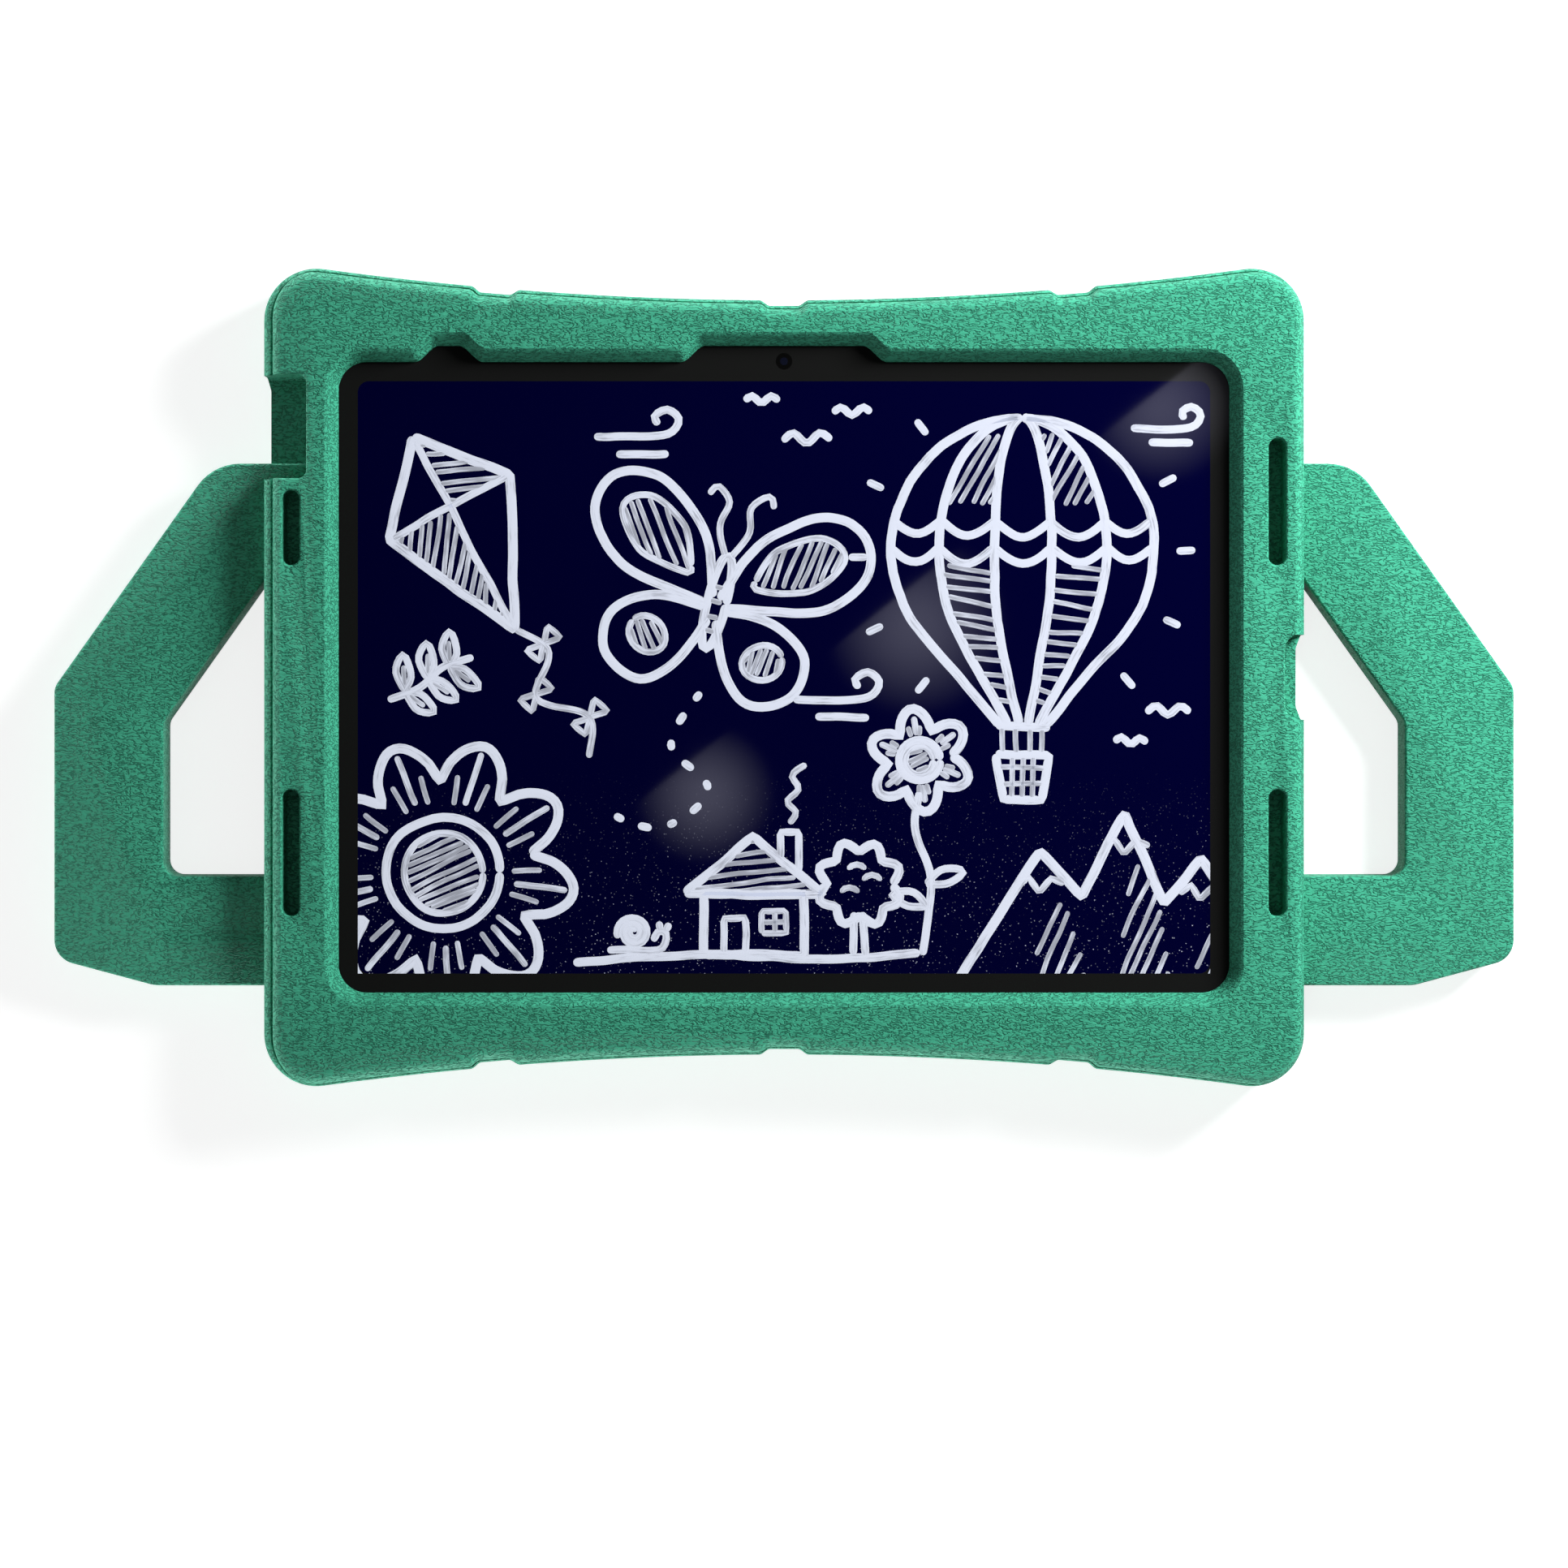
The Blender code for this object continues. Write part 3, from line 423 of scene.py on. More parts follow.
def inset(points, distance):
    """Move an anticlockwise outline inwards."""
    moved = []
    count = len(points)
    for index, point in enumerate(points):
        back = (point - points[index - 1]).normalized()
        ahead = (points[(index + 1) % count] - point).normalized()
        outward_ahead = Vector((ahead.y, -ahead.x))
        outward = (Vector((back.y, -back.x)) + outward_ahead).normalized()
        moved.append(point - outward * distance / outward.dot(outward_ahead))
    return moved


def loft(name, sections):
    """Closed solid through outlines of equal length, given as (outline, z) from low to high."""
    mesh = bpy.data.meshes.new(name)
    build = bmesh.new()
    rings = [[build.verts.new((point.x, point.y, z)) for point in outline]
             for outline, z in sections]
    count = len(rings[0])
    for low, high in zip(rings, rings[1:]):
        for index in range(count):
            following = (index + 1) % count
            build.faces.new((low[index], low[following], high[following], high[index]))
    build.faces.new(reversed(rings[0]))
    build.faces.new(rings[-1])
    build.to_mesh(mesh)
    build.free()
    item = bpy.data.objects.new(name, mesh)
    bpy.context.scene.collection.objects.link(item)
    return item


def combine(target, tool, operation):
    """Join a tool to a solid, or cut it out, and delete the tool."""
    step = target.modifiers.new(tool.name, 'BOOLEAN')
    step.operation = operation
    step.solver = 'EXACT'
    step.object = tool
    freeze(target)
    bpy.data.objects.remove(tool, do_unlink=True)


def freeze(item):
    """Put what the modifiers make into the mesh, and remove them."""
    bpy.context.view_layer.update()
    ready = item.evaluated_get(bpy.context.evaluated_depsgraph_get())
    mesh = bpy.data.meshes.new_from_object(ready)
    item.modifiers.clear()
    item.data = mesh


def quarter(count=5):
    """Angles of a quarter turn."""
    return [math.pi / 2.0 * step / count for step in range(count + 1)]


def smooth(value):
    """Smooth rise from 0 to 1."""
    value = min(1.0, max(0.0, value))
    return value * value * (3.0 - 2.0 * value)


def frame_path():
    """Outside of the frame as (point, outward normal, notch depth), anticlockwise."""
    corner_x = CASE_X - CASE_CORNER
    corner_y = CORNER_Y - CASE_CORNER
    drop = WAIST_Y - corner_y
    bow = (corner_x ** 2 + drop ** 2 - CASE_CORNER ** 2) / (2.0 * (CASE_CORNER - drop))
    lean = math.atan2(corner_x, bow + drop)
    corner = []
    steps = 18
    for step in range(steps + 1):
        angle = (math.pi / 2.0 + lean) * step / steps
        normal = Vector((math.cos(angle), math.sin(angle)))
        corner.append((Vector((corner_x, corner_y)) + CASE_CORNER * normal, normal, 0.0))

    half_flat = NOTCH_FLAT / 2.0
    slope_start = half_flat - NOTCH_EASE
    slope_length = NOTCH_SLOPE + 2.0 * NOTCH_EASE
    places = set()
    reach = bow * math.sin(lean)
    spans = 30
    for index in range(1, spans):
        x = reach - 2.0 * reach * index / spans
        if all(abs(x - middle) > half_flat + 1.6 * NOTCH_SLOPE for middle in NOTCH_MIDDLES):
            places.add(x)
    for middle in NOTCH_MIDDLES:
        for step in range(11):
            away = slope_start + slope_length * step / 10.0
            places.update((middle - away, middle + away))
    edge = []
    for x in sorted(places, reverse=True):
        angle = math.asin(x / bow)
        normal = Vector((-math.sin(angle), math.cos(angle)))
        point = Vector((0.0, WAIST_Y + bow)) - bow * normal
        depth = 0.0
        for middle in NOTCH_MIDDLES:
            share = (abs(x - middle) - slope_start) / slope_length
            depth = max(depth, NOTCH_DEPTH * (1.0 - smooth(share)))
        edge.append((point, normal, depth))

    def mirrored(items, flip_x, flip_y):
        turned = [(Vector((point.x * flip_x, point.y * flip_y)),
                   Vector((normal.x * flip_x, normal.y * flip_y)), depth)
                  for point, normal, depth in items]
        return turned[::-1] if flip_x * flip_y < 0 else turned

    upper = corner + edge + mirrored(corner, -1, 1)
    return upper + mirrored(upper, -1, -1)


def seam_setback(normal):
    """How far the front stands back from the seam on the side that faces this way."""
    across = SEAM_SETBACK["right" if normal.x > 0.0 else "left"]
    along = SEAM_SETBACK["top" if normal.y > 0.0 else "bottom"]
    return across * normal.x ** 2 + along * normal.y ** 2


def frame_body():
    """Frame before anything is cut: rounded back, seam groove and rounded front."""
    path = frame_path()

    def ring(distance, setback_share):
        return [point - normal * (distance + depth + setback_share * seam_setback(normal))
                for point, normal, depth in path]

    sections = [(ring(BACK_ROUND * (1.0 - math.sin(angle)), 0.0),
                 BACK_ROUND * (1.0 - math.cos(angle))) for angle in quarter(4)]
    sections += [(ring(distance, share), SEAM_Z + rise) for distance, share, rise in SEAM_STEPS]
    sections += [(ring(SEAM_STEPS[-1][0] + FRONT_ROUND * (1.0 - math.cos(angle)), 1.0),
                  FRONT_Z - FRONT_ROUND * (1.0 - math.sin(angle))) for angle in quarter(8)]
    return loft("foam_case", sections)


def sight_ring(outwards):
    """Edge of the lip, moved outwards, with its soft recesses in the upper edge."""
    x, y, radius = SIGHT_X + outwards, SIGHT_Y + outwards, SIGHT_CORNER + outwards
    corner_x, corner_y = x - radius, y - radius
    points = []
    for quadrant, (flip_x, flip_y) in enumerate(((1, 1), (-1, 1), (-1, -1), (1, -1))):
        for angle in quarter(20):
            turn = angle + quadrant * math.pi / 2.0
            points.append(Vector((flip_x * corner_x + radius * math.cos(turn),
                                  flip_y * corner_y + radius * math.sin(turn))))
        if quadrant == 0:
            points += recess_points(y, outwards)
    return points


def recess_points(y, outwards):
    """Points of the upper edge through both recesses, from right to left."""
    points = []
    slope_length = RECESS_SLOPE + 2.0 * RECESS_EASE
    for middle, flat in RECESSES:
        side = []
        slope_start = flat / 2.0 + 0.36 * outwards - RECESS_EASE
        for step in range(13):
            share = step / 12.0
            side.append((slope_start + slope_length * share, RECESS_RISE * (1.0 - smooth(share))))
        points += [Vector((middle + away, y + rise)) for away, rise in reversed(side)]
        points += [Vector((middle - away, y + rise)) for away, rise in side]
    return points


def rim_sections(outline, floor_z, rim, floor_round):
    """Sections of a cutter with a rounded floor edge and a rounded rim at the front."""
    sections = [(inset(outline, floor_round * (1.0 - math.sin(angle))),
                 floor_z + floor_round * (1.0 - math.cos(angle))) for angle in quarter(4)]
    for angle in quarter(6)[:-1]:
        sections.append((inset(outline, -rim * (1.0 - math.cos(angle))),
                         FRONT_Z - rim * (1.0 - math.sin(angle))))
    sections.append((inset(outline, -1.12 * rim), FRONT_Z + 0.05 * MM))
    sections.append((inset(outline, -1.2 * rim), FRONT_Z + OVERCUT))
    return sections


def cut_front(case):
    """Pocket for the tablet and the sight window with its sloped lip."""
    pocket = rectangle(-POCKET_X, POCKET_X, -POCKET_Y, POCKET_Y, TABLET_CORNER + GAP)
    combine(case, loft("pocket_cutter", [(pocket, POCKET_FLOOR_Z), (pocket, LIP_Z)]), 'DIFFERENCE')
    rise = FRONT_Z - LIP_Z
    sections = [(sight_ring(0.0), LIP_Z - 0.5 * MM), (sight_ring(0.0), LIP_Z + 0.25 * MM),
                (sight_ring(0.1 * MM), LIP_Z + 0.6 * MM)]
    for share in (0.25, 0.5, 0.75):
        sections.append((sight_ring(LIP_SLOPE * share), LIP_Z + rise * (0.1 + 0.9 * share)))
    for outwards, depth in LIP_RIM:
        sections.append((sight_ring(LIP_SLOPE + outwards), FRONT_Z - depth))
    combine(case, loft("sight_cutter", sections), 'DIFFERENCE')


def cut_slots(case, rim, floor_round):
    """Four sound slots; the upper left one is short, to clear the power button's cutout."""
    half = SLOT_WIDTH / 2.0
    short_end = min(SLOT_FAR, POWER_CUT_LOW - SLOT_CLEARANCE)
    for side, low, high in ((1.0, SLOT_NEAR, SLOT_FAR), (1.0, -SLOT_FAR, -SLOT_NEAR),
                            (-1.0, -SLOT_FAR, -SLOT_NEAR), (-1.0, SLOT_NEAR, short_end)):
        middle = side * SLOT_X
        outline = rectangle(middle - half, middle + half, low, high, half * 0.98)
        sections = rim_sections(outline, SLOT_FLOOR_Z, rim, min(floor_round, half * 0.4))
        combine(case, loft("slot_cutter", sections), 'DIFFERENCE')


def step_outline(side, depth, low, high):
    """Shallow step in a short side, with sloped and rounded ends."""
    outside = side * (CASE_X + OVERCUT)
    inside = side * (CASE_X - depth)
    past = STEP_END * OVERCUT / depth
    corners = [(outside, low - past, 0.0), (inside, low + STEP_END, STEP_CORNER),
               (inside, high - STEP_END, STEP_CORNER), (outside, high + past, 0.0)]
    return rounded(corners if side < 0.0 else corners[::-1])


def cut_sides(case, rim, floor_round):
    """Cutout for the power button on the left, notch for the plug on the right."""
    outer = CASE_X + OVERCUT
    power = rounded([(-outer, POWER_CUT_LOW, 0.0), (-POWER_CUT_X, POWER_CUT_LOW, POWER_CUT_CORNER),
                     (-POWER_CUT_X, POWER_CUT_HIGH, POWER_CUT_CORNER),
                     (-outer, POWER_CUT_HIGH, 0.0)])
    port = rounded([(PORT_CUT_X, -PORT_CUT_Y, PORT_CUT_CORNER), (outer, -PORT_CUT_Y, 0.0),
                    (outer, PORT_CUT_Y, 0.0), (PORT_CUT_X, PORT_CUT_Y, PORT_CUT_CORNER)])
    for outline in (power, port):
        combine(case, loft("side_cutter", rim_sections(outline, LEDGE_Z, rim, floor_round)),
                'DIFFERENCE')
    for outline in (step_outline(-1.0, POWER_STEP, POWER_CUT_LOW, POWER_CUT_HIGH),
                    step_outline(1.0, PORT_STEP, -PORT_CUT_Y, PORT_CUT_Y)):
        combine(case, loft("step_cutter", [(outline, -OVERCUT), (outline, FRONT_Z + OVERCUT)]),
                'DIFFERENCE')
    button_y = (POWER_CUT_LOW + POWER_CUT_HIGH) / 2.0
    for x_low, x_high, y, (half_length, half_height) in (
            (-POWER_CUT_X - GAP, -POCKET_X + OVERCUT, button_y, BUTTON_WINDOW),
            (POCKET_X - OVERCUT, PORT_CUT_X + GAP, 0.0, PLUG_WINDOW)):
        outline = rectangle(x_low, x_high, y - half_length, y + half_length)
        combine(case, loft("window_cutter", [(outline, SIDE_Z - half_height),
                                             (outline, SIDE_Z + half_height)]), 'DIFFERENCE')


def cut_camera_hole(case):
    """Hole behind the rear camera, wider at the back."""
    low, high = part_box("rear_camera_module")
    x, y = (low.x + high.x) / 2.0, (low.y + high.y) / 2.0
    sections = [(circle(x, y, CAMERA_HOLE_BACK), -OVERCUT),
                (circle(x, y, CAMERA_HOLE_FLOOR), POCKET_FLOOR_Z + OVERCUT)]
    combine(case, loft("hole_cutter", sections), 'DIFFERENCE')


def arm_outlines():
    """Outside of the right arm and its hand hole, both anticlockwise."""
    run, rise = math.cos(ARM_SLOPE), math.sin(ARM_SLOPE)
    top_x = ARM_TIP_X - (ARM_TOP - ARM_SHOULDER) * run / rise
    outer = [(ARM_ROOT_X, ARM_BOTTOM, 0.0),
             (ARM_TIP_X - ARM_HEEL, ARM_BOTTOM, 10.0 * MM),
             (ARM_TIP_X, ARM_BOTTOM + ARM_HEEL * math.tan(ARM_HEEL_ANGLE), 6.5 * MM),
             (ARM_TIP_X, ARM_SHOULDER, 5.0 * MM),
             (top_x, ARM_TOP, 14.0 * MM),
             (ARM_ROOT_X, ARM_TOP, 0.0)]
    hole_x = ARM_TIP_X - ARM_BAND
    root_x = ARM_ROOT_X - OVERCUT
    slope_x = ARM_TIP_X - ARM_BAND * rise
    slope_y = ARM_SHOULDER - ARM_BAND * run

    def height(x):
        return slope_y + (slope_x - x) * rise / run

    hole = [(root_x, ARM_BOTTOM + ARM_BAND, 0.0), (hole_x, ARM_BOTTOM + ARM_BAND, 4.0 * MM),
            (hole_x, height(hole_x), 4.0 * MM), (root_x, height(root_x), 0.0)]
    return rounded(outer), rounded(hole)


def add_arm(case, side):
    """One flat arm with a hand hole, fused to the frame."""
    outline, hole = arm_outlines()
    if side < 0.0:
        outline, hole = [[Vector((-point.x, point.y)) for point in reversed(points)]
                         for points in (outline, hole)]
    edge = ARM_EDGE
    turns = quarter(4)
    low = [(edge * (1.0 - math.sin(turn)), ARM_LOW_Z + edge * (1.0 - math.cos(turn)))
           for turn in turns]
    high = [(edge * (1.0 - math.cos(turn)), ARM_TOP_Z - edge * (1.0 - math.sin(turn)))
            for turn in turns]
    arm = loft("arm", [(inset(outline, distance), z) for distance, z in low + high])
    past = edge + 0.05 * MM
    clear = 0.03 * MM
    sides = [(past, ARM_LOW_Z - OVERCUT), (past, ARM_LOW_Z - clear), *(low + high)[1:-1],
             (past, ARM_TOP_Z + clear), (past, ARM_TOP_Z + OVERCUT)]
    combine(arm, loft("arm_hole_cutter", [(inset(hole, -distance), z) for distance, z in sides]),
            'DIFFERENCE')
    combine(case, arm, 'UNION')


def shade(item, angle=32.0):
    """Smooth shading with crisp edges."""
    item.data.shade_smooth()
    item.data.set_sharp_from_angle(angle=math.radians(angle))


def set_material(item, material):
    """Give a piece or a CAD node this material all over."""
    item.data.materials.clear()
    item.data.materials.append(material)


def finish_piece(item, material):
    """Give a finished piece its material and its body."""
    set_material(item, material)
    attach(item, BODY)


def screen_corners():
    """Lowest and highest corner of the lit part of the screen."""
    margin = Vector((1.0, 1.0, 0.0)) * SCREEN_MARGIN
    return PANEL_LOW + margin, PANEL_HIGH - margin


def foam_material(settings):
    """Moulded foam with a fine leather grain, its wrinkles longer than they are wide; the base
    colour also carries painted shade that darkens the creases.
    """
    colour = tuple(settings.colour)
    material, graph, shader = material_graph("green_foam", colour, 0.6, Specular_IOR_Level=0.22)
    place = graph.place()
    bent = graph.warped(place, 2.2 * MM, 1.1 * MM)
    stretch = (1.0 / settings.grain_length,) + (1.0 / settings.grain_width,) * 2
    wrinkles = graph.vector('MULTIPLY', bent, stretch)
    # A crease runs where the ridge noise crosses its middle, and breaks off here and there
    crease_width = 0.10
    ridge = graph.noise(wrinkles, 1.15, 1.0) - 0.5
    broken = graph.noise(wrinkles, 1.4, 0.5).step(0.30, 0.42)
    crease = (1.0 - ridge.math('ABSOLUTE').step(0.0, crease_width)) * broken
    swell = graph.noise(wrinkles, 1.2, 1.0)
    fine = graph.noise(graph.vector('MULTIPLY', bent, (1.0, 1.8, 1.8)), 0.5 * MM)
    height = swell * 0.8 + fine * 0.3 - crease * 0.7
    broad = graph.noise(place, 40.0 * MM)
    # Base colour: random tone of the grain and a broad cloud, with painted shade that darkens the
    # creases towards the darker copy of the foam colour
    tone = swell * 0.25 + fine * 0.25 + broad * 0.08 - crease * 0.6
    dark, light = shades(colour, 0.58, 1.22)
    feed(graph, shader,
         Base_Color=graph.mix(tone.step(-0.35, 0.45), dark, light),
         Roughness=0.54 + crease * 0.2,
         Normal=graph.bump(height, settings.grain_depth))
    return material


def glass_material(settings):
    """Glass over a black border and the picture's dark ground."""
    border, ground = tuple(settings.border_colour), tuple(settings.picture_colour)
    material, graph, shader = material_graph("screen_glass", border, 0.06, Specular_IOR_Level=0.22)
    place = graph.place()
    x, y = graph.part(place, "X"), graph.part(place, "Y")
    # Rectangle with round corners, where the picture shows
    soft_edge = 0.06 * MM
    low, high = screen_corners()
    middle, half = (low + high) / 2.0, (high - low) / 2.0
    past_x = ((x - middle.x).math('ABSOLUTE') - (half.x - SCREEN_CORNER)).math('MAXIMUM', 0.0)
    past_y = ((y - middle.y).math('ABSOLUTE') - (half.y - SCREEN_CORNER)).math('MAXIMUM', 0.0)
    reach = (past_x * past_x + past_y * past_y).math('SQRT')
    inside = 1.0 - reach.step(SCREEN_CORNER - soft_edge, SCREEN_CORNER + soft_edge)
    # Chalk dust in the lower part of the picture
    patches = graph.noise(place, 1.6 * MM).step(0.42, 0.66)
    dust = (1.0 - graph.cells(place, 0.9 * MM).step(0.08, 0.24)) * patches
    low_part = 1.0 - y.step(DUST_FULL_Y, DUST_TOP_Y)
    ground_mix = graph.mix(dust * low_part, (*ground, 1.0), DUST_COLOUR)
    # Front camera in the border
    soft_edge = 0.1 * MM
    lens_low, lens_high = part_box("front_camera")
    lens = (lens_low + lens_high) / 2.0
    from_lens = ((x - lens.x) ** 2.0 + (y - lens.y) ** 2.0).math('SQRT')
    edge = (lens_high.x - lens_low.x) / 2.0
    disc = 1.0 - from_lens.step(edge - soft_edge, edge + soft_edge)
    pupil = 1.0 - from_lens.step(0.42 * edge, 0.5 * edge)
    dark, plain = shades(border, 0.3, 1.0)
    eye = graph.mix(pupil, dark, PUPIL_COLOUR)
    print_colour = graph.mix(disc, plain, eye)
    feed(graph, shader, Base_Color=graph.mix(inside, print_colour, ground_mix),
         Roughness=graph.noise(place, 15.0 * MM) * 0.02 + 0.015)
    return material


def chalk_material(settings):
    """Chalky line with streaks, lit as part of the picture."""
    colour = tuple(settings.chalk_colour)
    material, graph, shader = material_graph("chalk_line", colour, 0.25, Specular_IOR_Level=0.2,
                                             Emission_Strength=0.55)
    along, across, boldness = (
        graph.node("ShaderNodeAttribute", {"attribute_name": name}, output="Fac")
        for name in ("along", "across", "boldness"))
    place = graph.place()
    route = graph.node("ShaderNodeCombineXYZ", None,
                       {"X": along / (7.0 * MM), "Y": across * 5.0, "Z": boldness * 3.0})
    streak = graph.noise(graph.vector('ADD', route, place), 1.0, 3.0, 0.65)
    broad = graph.noise(place, 9.0 * MM)
    thin = 1.0 - boldness.step(0.55, 0.95)
    worn = (streak * 0.7 + broad * 0.45 - thin * 0.16).step(0.34, 0.56)
    pale, full = shades(colour, 0.42, 1.0)
    glow = graph.mix(worn, pale, full)
    unlit = graph.mix(0.7, glow, (0.1, 0.1, 0.13, 1.0))
    feed(graph, shader, Base_Color=unlit, Emission_Color=glow)
    return material


def ellipse(x, y, across, up, start=0.0, end=360.0, tilt=0.0):
    """Points along the arc of a tilted ellipse, anticlockwise from start to end in degrees."""
    count = max(6, round(abs(end - start) / 9.0))
    lean = math.radians(tilt)
    points = []
    for step in range(count + 1):
        turn = math.radians(start + (end - start) * step / count)
        u, v = across * math.cos(turn), up * math.sin(turn)
        points.append((x + u * math.cos(lean) - v * math.sin(lean),
                       y + u * math.sin(lean) + v * math.cos(lean)))
    return points


def polar(reach, angle):
    """Point at this distance from the middle, in the direction of an angle in degrees."""
    turn = math.radians(angle)
    return reach * math.cos(turn), reach * math.sin(turn)


def through(points):
    """Smooth curve through a few points."""
    padded = [points[0], *points, points[-1]]
    curve = []
    for before, start, end, after in zip(padded, padded[1:], padded[2:], padded[3:]):
        for step in range(8):
            t = step / 8.0
            curve.append(tuple(
                0.5 * (2.0 * b + (c - a) * t + (2.0 * a - 5.0 * b + 4.0 * c - d) * t ** 2
                       + (3.0 * b - a - 3.0 * c + d) * t ** 3)
                for a, b, c, d in zip(before, start, end, after)))
    return curve + [points[-1]]


def moved(points, x, y, size=1.0, tilt=0.0):
    """Points of a small sketch, sized, tilted by degrees and put in its place."""
    lean = math.radians(tilt)
    return [(x + size * (u * math.cos(lean) - v * math.sin(lean)),
             y + size * (u * math.sin(lean) + v * math.cos(lean))) for u, v in points]


def scallops(points, bulge, fullness=1.0):
    """Row of bows from each point to the next, bulging to the left of the way along."""
    row = []
    for (x, y), (next_x, next_y) in zip(points, points[1:]):
        for step in range(16):
            share = step / 16.0
            out = bulge * math.sin(math.pi * share) ** fullness
            row.append((x + (next_x - x) * share - (next_y - y) * out,
                        y + (next_y - y) * share + (next_x - x) * out))
    return row + [points[-1]]


def spaced(points, step):
    """Points along a polyline at even spacing, with closer ones at both ends for round tips."""
    lengths = [0.0]
    for start, end in zip(points, points[1:]):
        lengths.append(lengths[-1] + math.dist(start, end))
    total = lengths[-1]
    count = max(2, round(total / step))
    tips = (0.0, 0.06, 0.25, 0.6)
    wanted = set(total * index / count for index in range(1, count))
    wanted.update(min(tip, 0.4 * total) for tip in tips)
    wanted.update(total - min(tip, 0.4 * total) for tip in tips)
    found = []
    index = 0
    for distance in sorted(wanted):
        while index < len(lengths) - 2 and lengths[index + 1] < distance:
            index += 1
        span = lengths[index + 1] - lengths[index]
        share = (distance - lengths[index]) / span if span > 0.0 else 0.0
        spot = Vector(points[index]).lerp(Vector(points[index + 1]), share)
        found.append((spot, min(distance, total - distance)))
    return found


class Pen:
    """Collects the drawing's lines, in millimetres from the middle of the screen."""

    def __init__(self, hand, lines, place=(0.0, 0.0)):
        self.hand = hand
        self.lines = lines
        self.place = place

    def at(self, x, y, size=1.0, tilt=0.0):
        """The same pen for a sketch that is sized, tilted and put in its place."""
        return Pen(self.hand, self.lines, (x, y, size, tilt))

    def line(self, points, width=1.0):
        self.lines.append((moved(points, *self.place), width))

    def dashes(self, points):
        """Dashed line along a route."""
        dash, pause = 4.0, 3.4
        route = spaced(points, 0.7)
        travelled = 0.0
        stretch = []
        for (spot, _), (following, _) in zip(route, route[1:]):
            travelled += math.dist(spot, following)
            if travelled % (dash + pause) < dash:
                stretch.append(tuple(spot))
            elif len(stretch) > 1:
                self.line(stretch, 0.9)
                stretch = []

    def hatch(self, outline, angle, spacing=2.6):
        """Fill a closed outline with uneven parallel lines."""
        turned = moved(moved(outline, *self.place), 0.0, 0.0, 1.0, -angle)
        level = min(v for _, v in turned) + spacing * 0.6
        top = max(v for _, v in turned)
        while level < top:
            slant = self.hand.uniform(-0.45, 0.45)
            crossings = []
            for (u, v), (next_u, next_v) in zip(turned, turned[1:] + turned[:1]):
                if (v < level) != (next_v < level):
                    crossings.append(u + (next_u - u) * (level - v) / (next_v - v))
            crossings.sort()
            for left, right in zip(crossings[::2], crossings[1::2]):
                if right - left > 2.5:
                    ends = [(left + 0.8, level - slant), (right - 0.8, level + slant)]
                    self.lines.append((moved(ends, 0.0, 0.0, 1.0, angle), 0.55))
            level += spacing * self.hand.uniform(0.75, 1.3)


def draw_balloon(pen):
    """Hot-air balloon of radius 1 with gores, a garland and a woven basket."""
    neck, mouth = -0.6, -1.34

    def half_width(level):
        if level > neck:
            return math.sqrt(max(0.0, 1.0 - level * level))
        return 0.8 - (0.8 - 0.17) * (neck - level) / (neck - mouth)

    def gore(share, high=1.0, low=mouth):
        levels = [high + (low - high) * math.sin(math.pi / 2.0 * step / 30) ** 2
                  for step in range(31)]
        return [(share * half_width(level), level) for level in levels]

    shares = (-1.0, -0.64, -0.22, 0.22, 0.64, 1.0)
    for share in shares:
        pen.line(gore(share), 1.05)
    for left, right in (shares[1:3], shares[3:5]):
        pen.hatch(gore(left, 0.9, 0.32) + gore(right, 0.9, 0.32)[::-1], 62.0)
        pen.hatch(gore(left, -0.12, -1.2) + gore(right, -0.12, -1.2)[::-1], -8.0, 3.1)
    for level in (0.22, 0.02):
        row = [(share * half_width(level), level) for share in shares]
        pen.line(scallops(row, -0.30), 0.95)
    pen.line([(-0.2, mouth), (0.2, mouth - 0.0114)])
    top, floor = mouth - 0.22, mouth - 0.56
    for share in (-0.16, -0.05, 0.06, 0.15):
        pen.line([(share, mouth), (share * 0.95, top)], 0.6)
    pen.line([(-0.2, top), (-0.15, floor), (0.15, floor), (0.2, top), (-0.2, top)])
    for share in (0.3, 0.62):
        level = top + share * (floor - top)
        pen.line([(-0.18, level), (0.18, level)], 0.6)
    for share in (-0.08, 0.0, 0.08):
        pen.line([(share, top), (share, floor)], 0.6)


def draw_flower(pen, petals, turn):
    """Flower of radius 1 with veins in each petal and a hatched middle."""
    angles = [turn + 360.0 * index / petals for index in range(petals + 1)]
    pen.line(scallops([polar(0.6, angle) for angle in reversed(angles)], 0.78, 0.5), 1.1)
    for angle in angles[:-1]:
        for side, start, end, width in ((0.0, 0.48, 0.83, 0.7), (-9.0, 0.46, 0.66, 0.6),
                                        (9.0, 0.46, 0.66, 0.6)):
            vein = angle + 180.0 / petals + side
            pen.line([polar(start, vein), polar(end, vein)], width)
    pen.line(ellipse(0.0, 0.0, 0.38, 0.37))
    ring = ellipse(0.0, 0.0, 0.26, 0.27)
    pen.line(ring, 0.8)
    pen.hatch(ring, 24.0, 1.9)


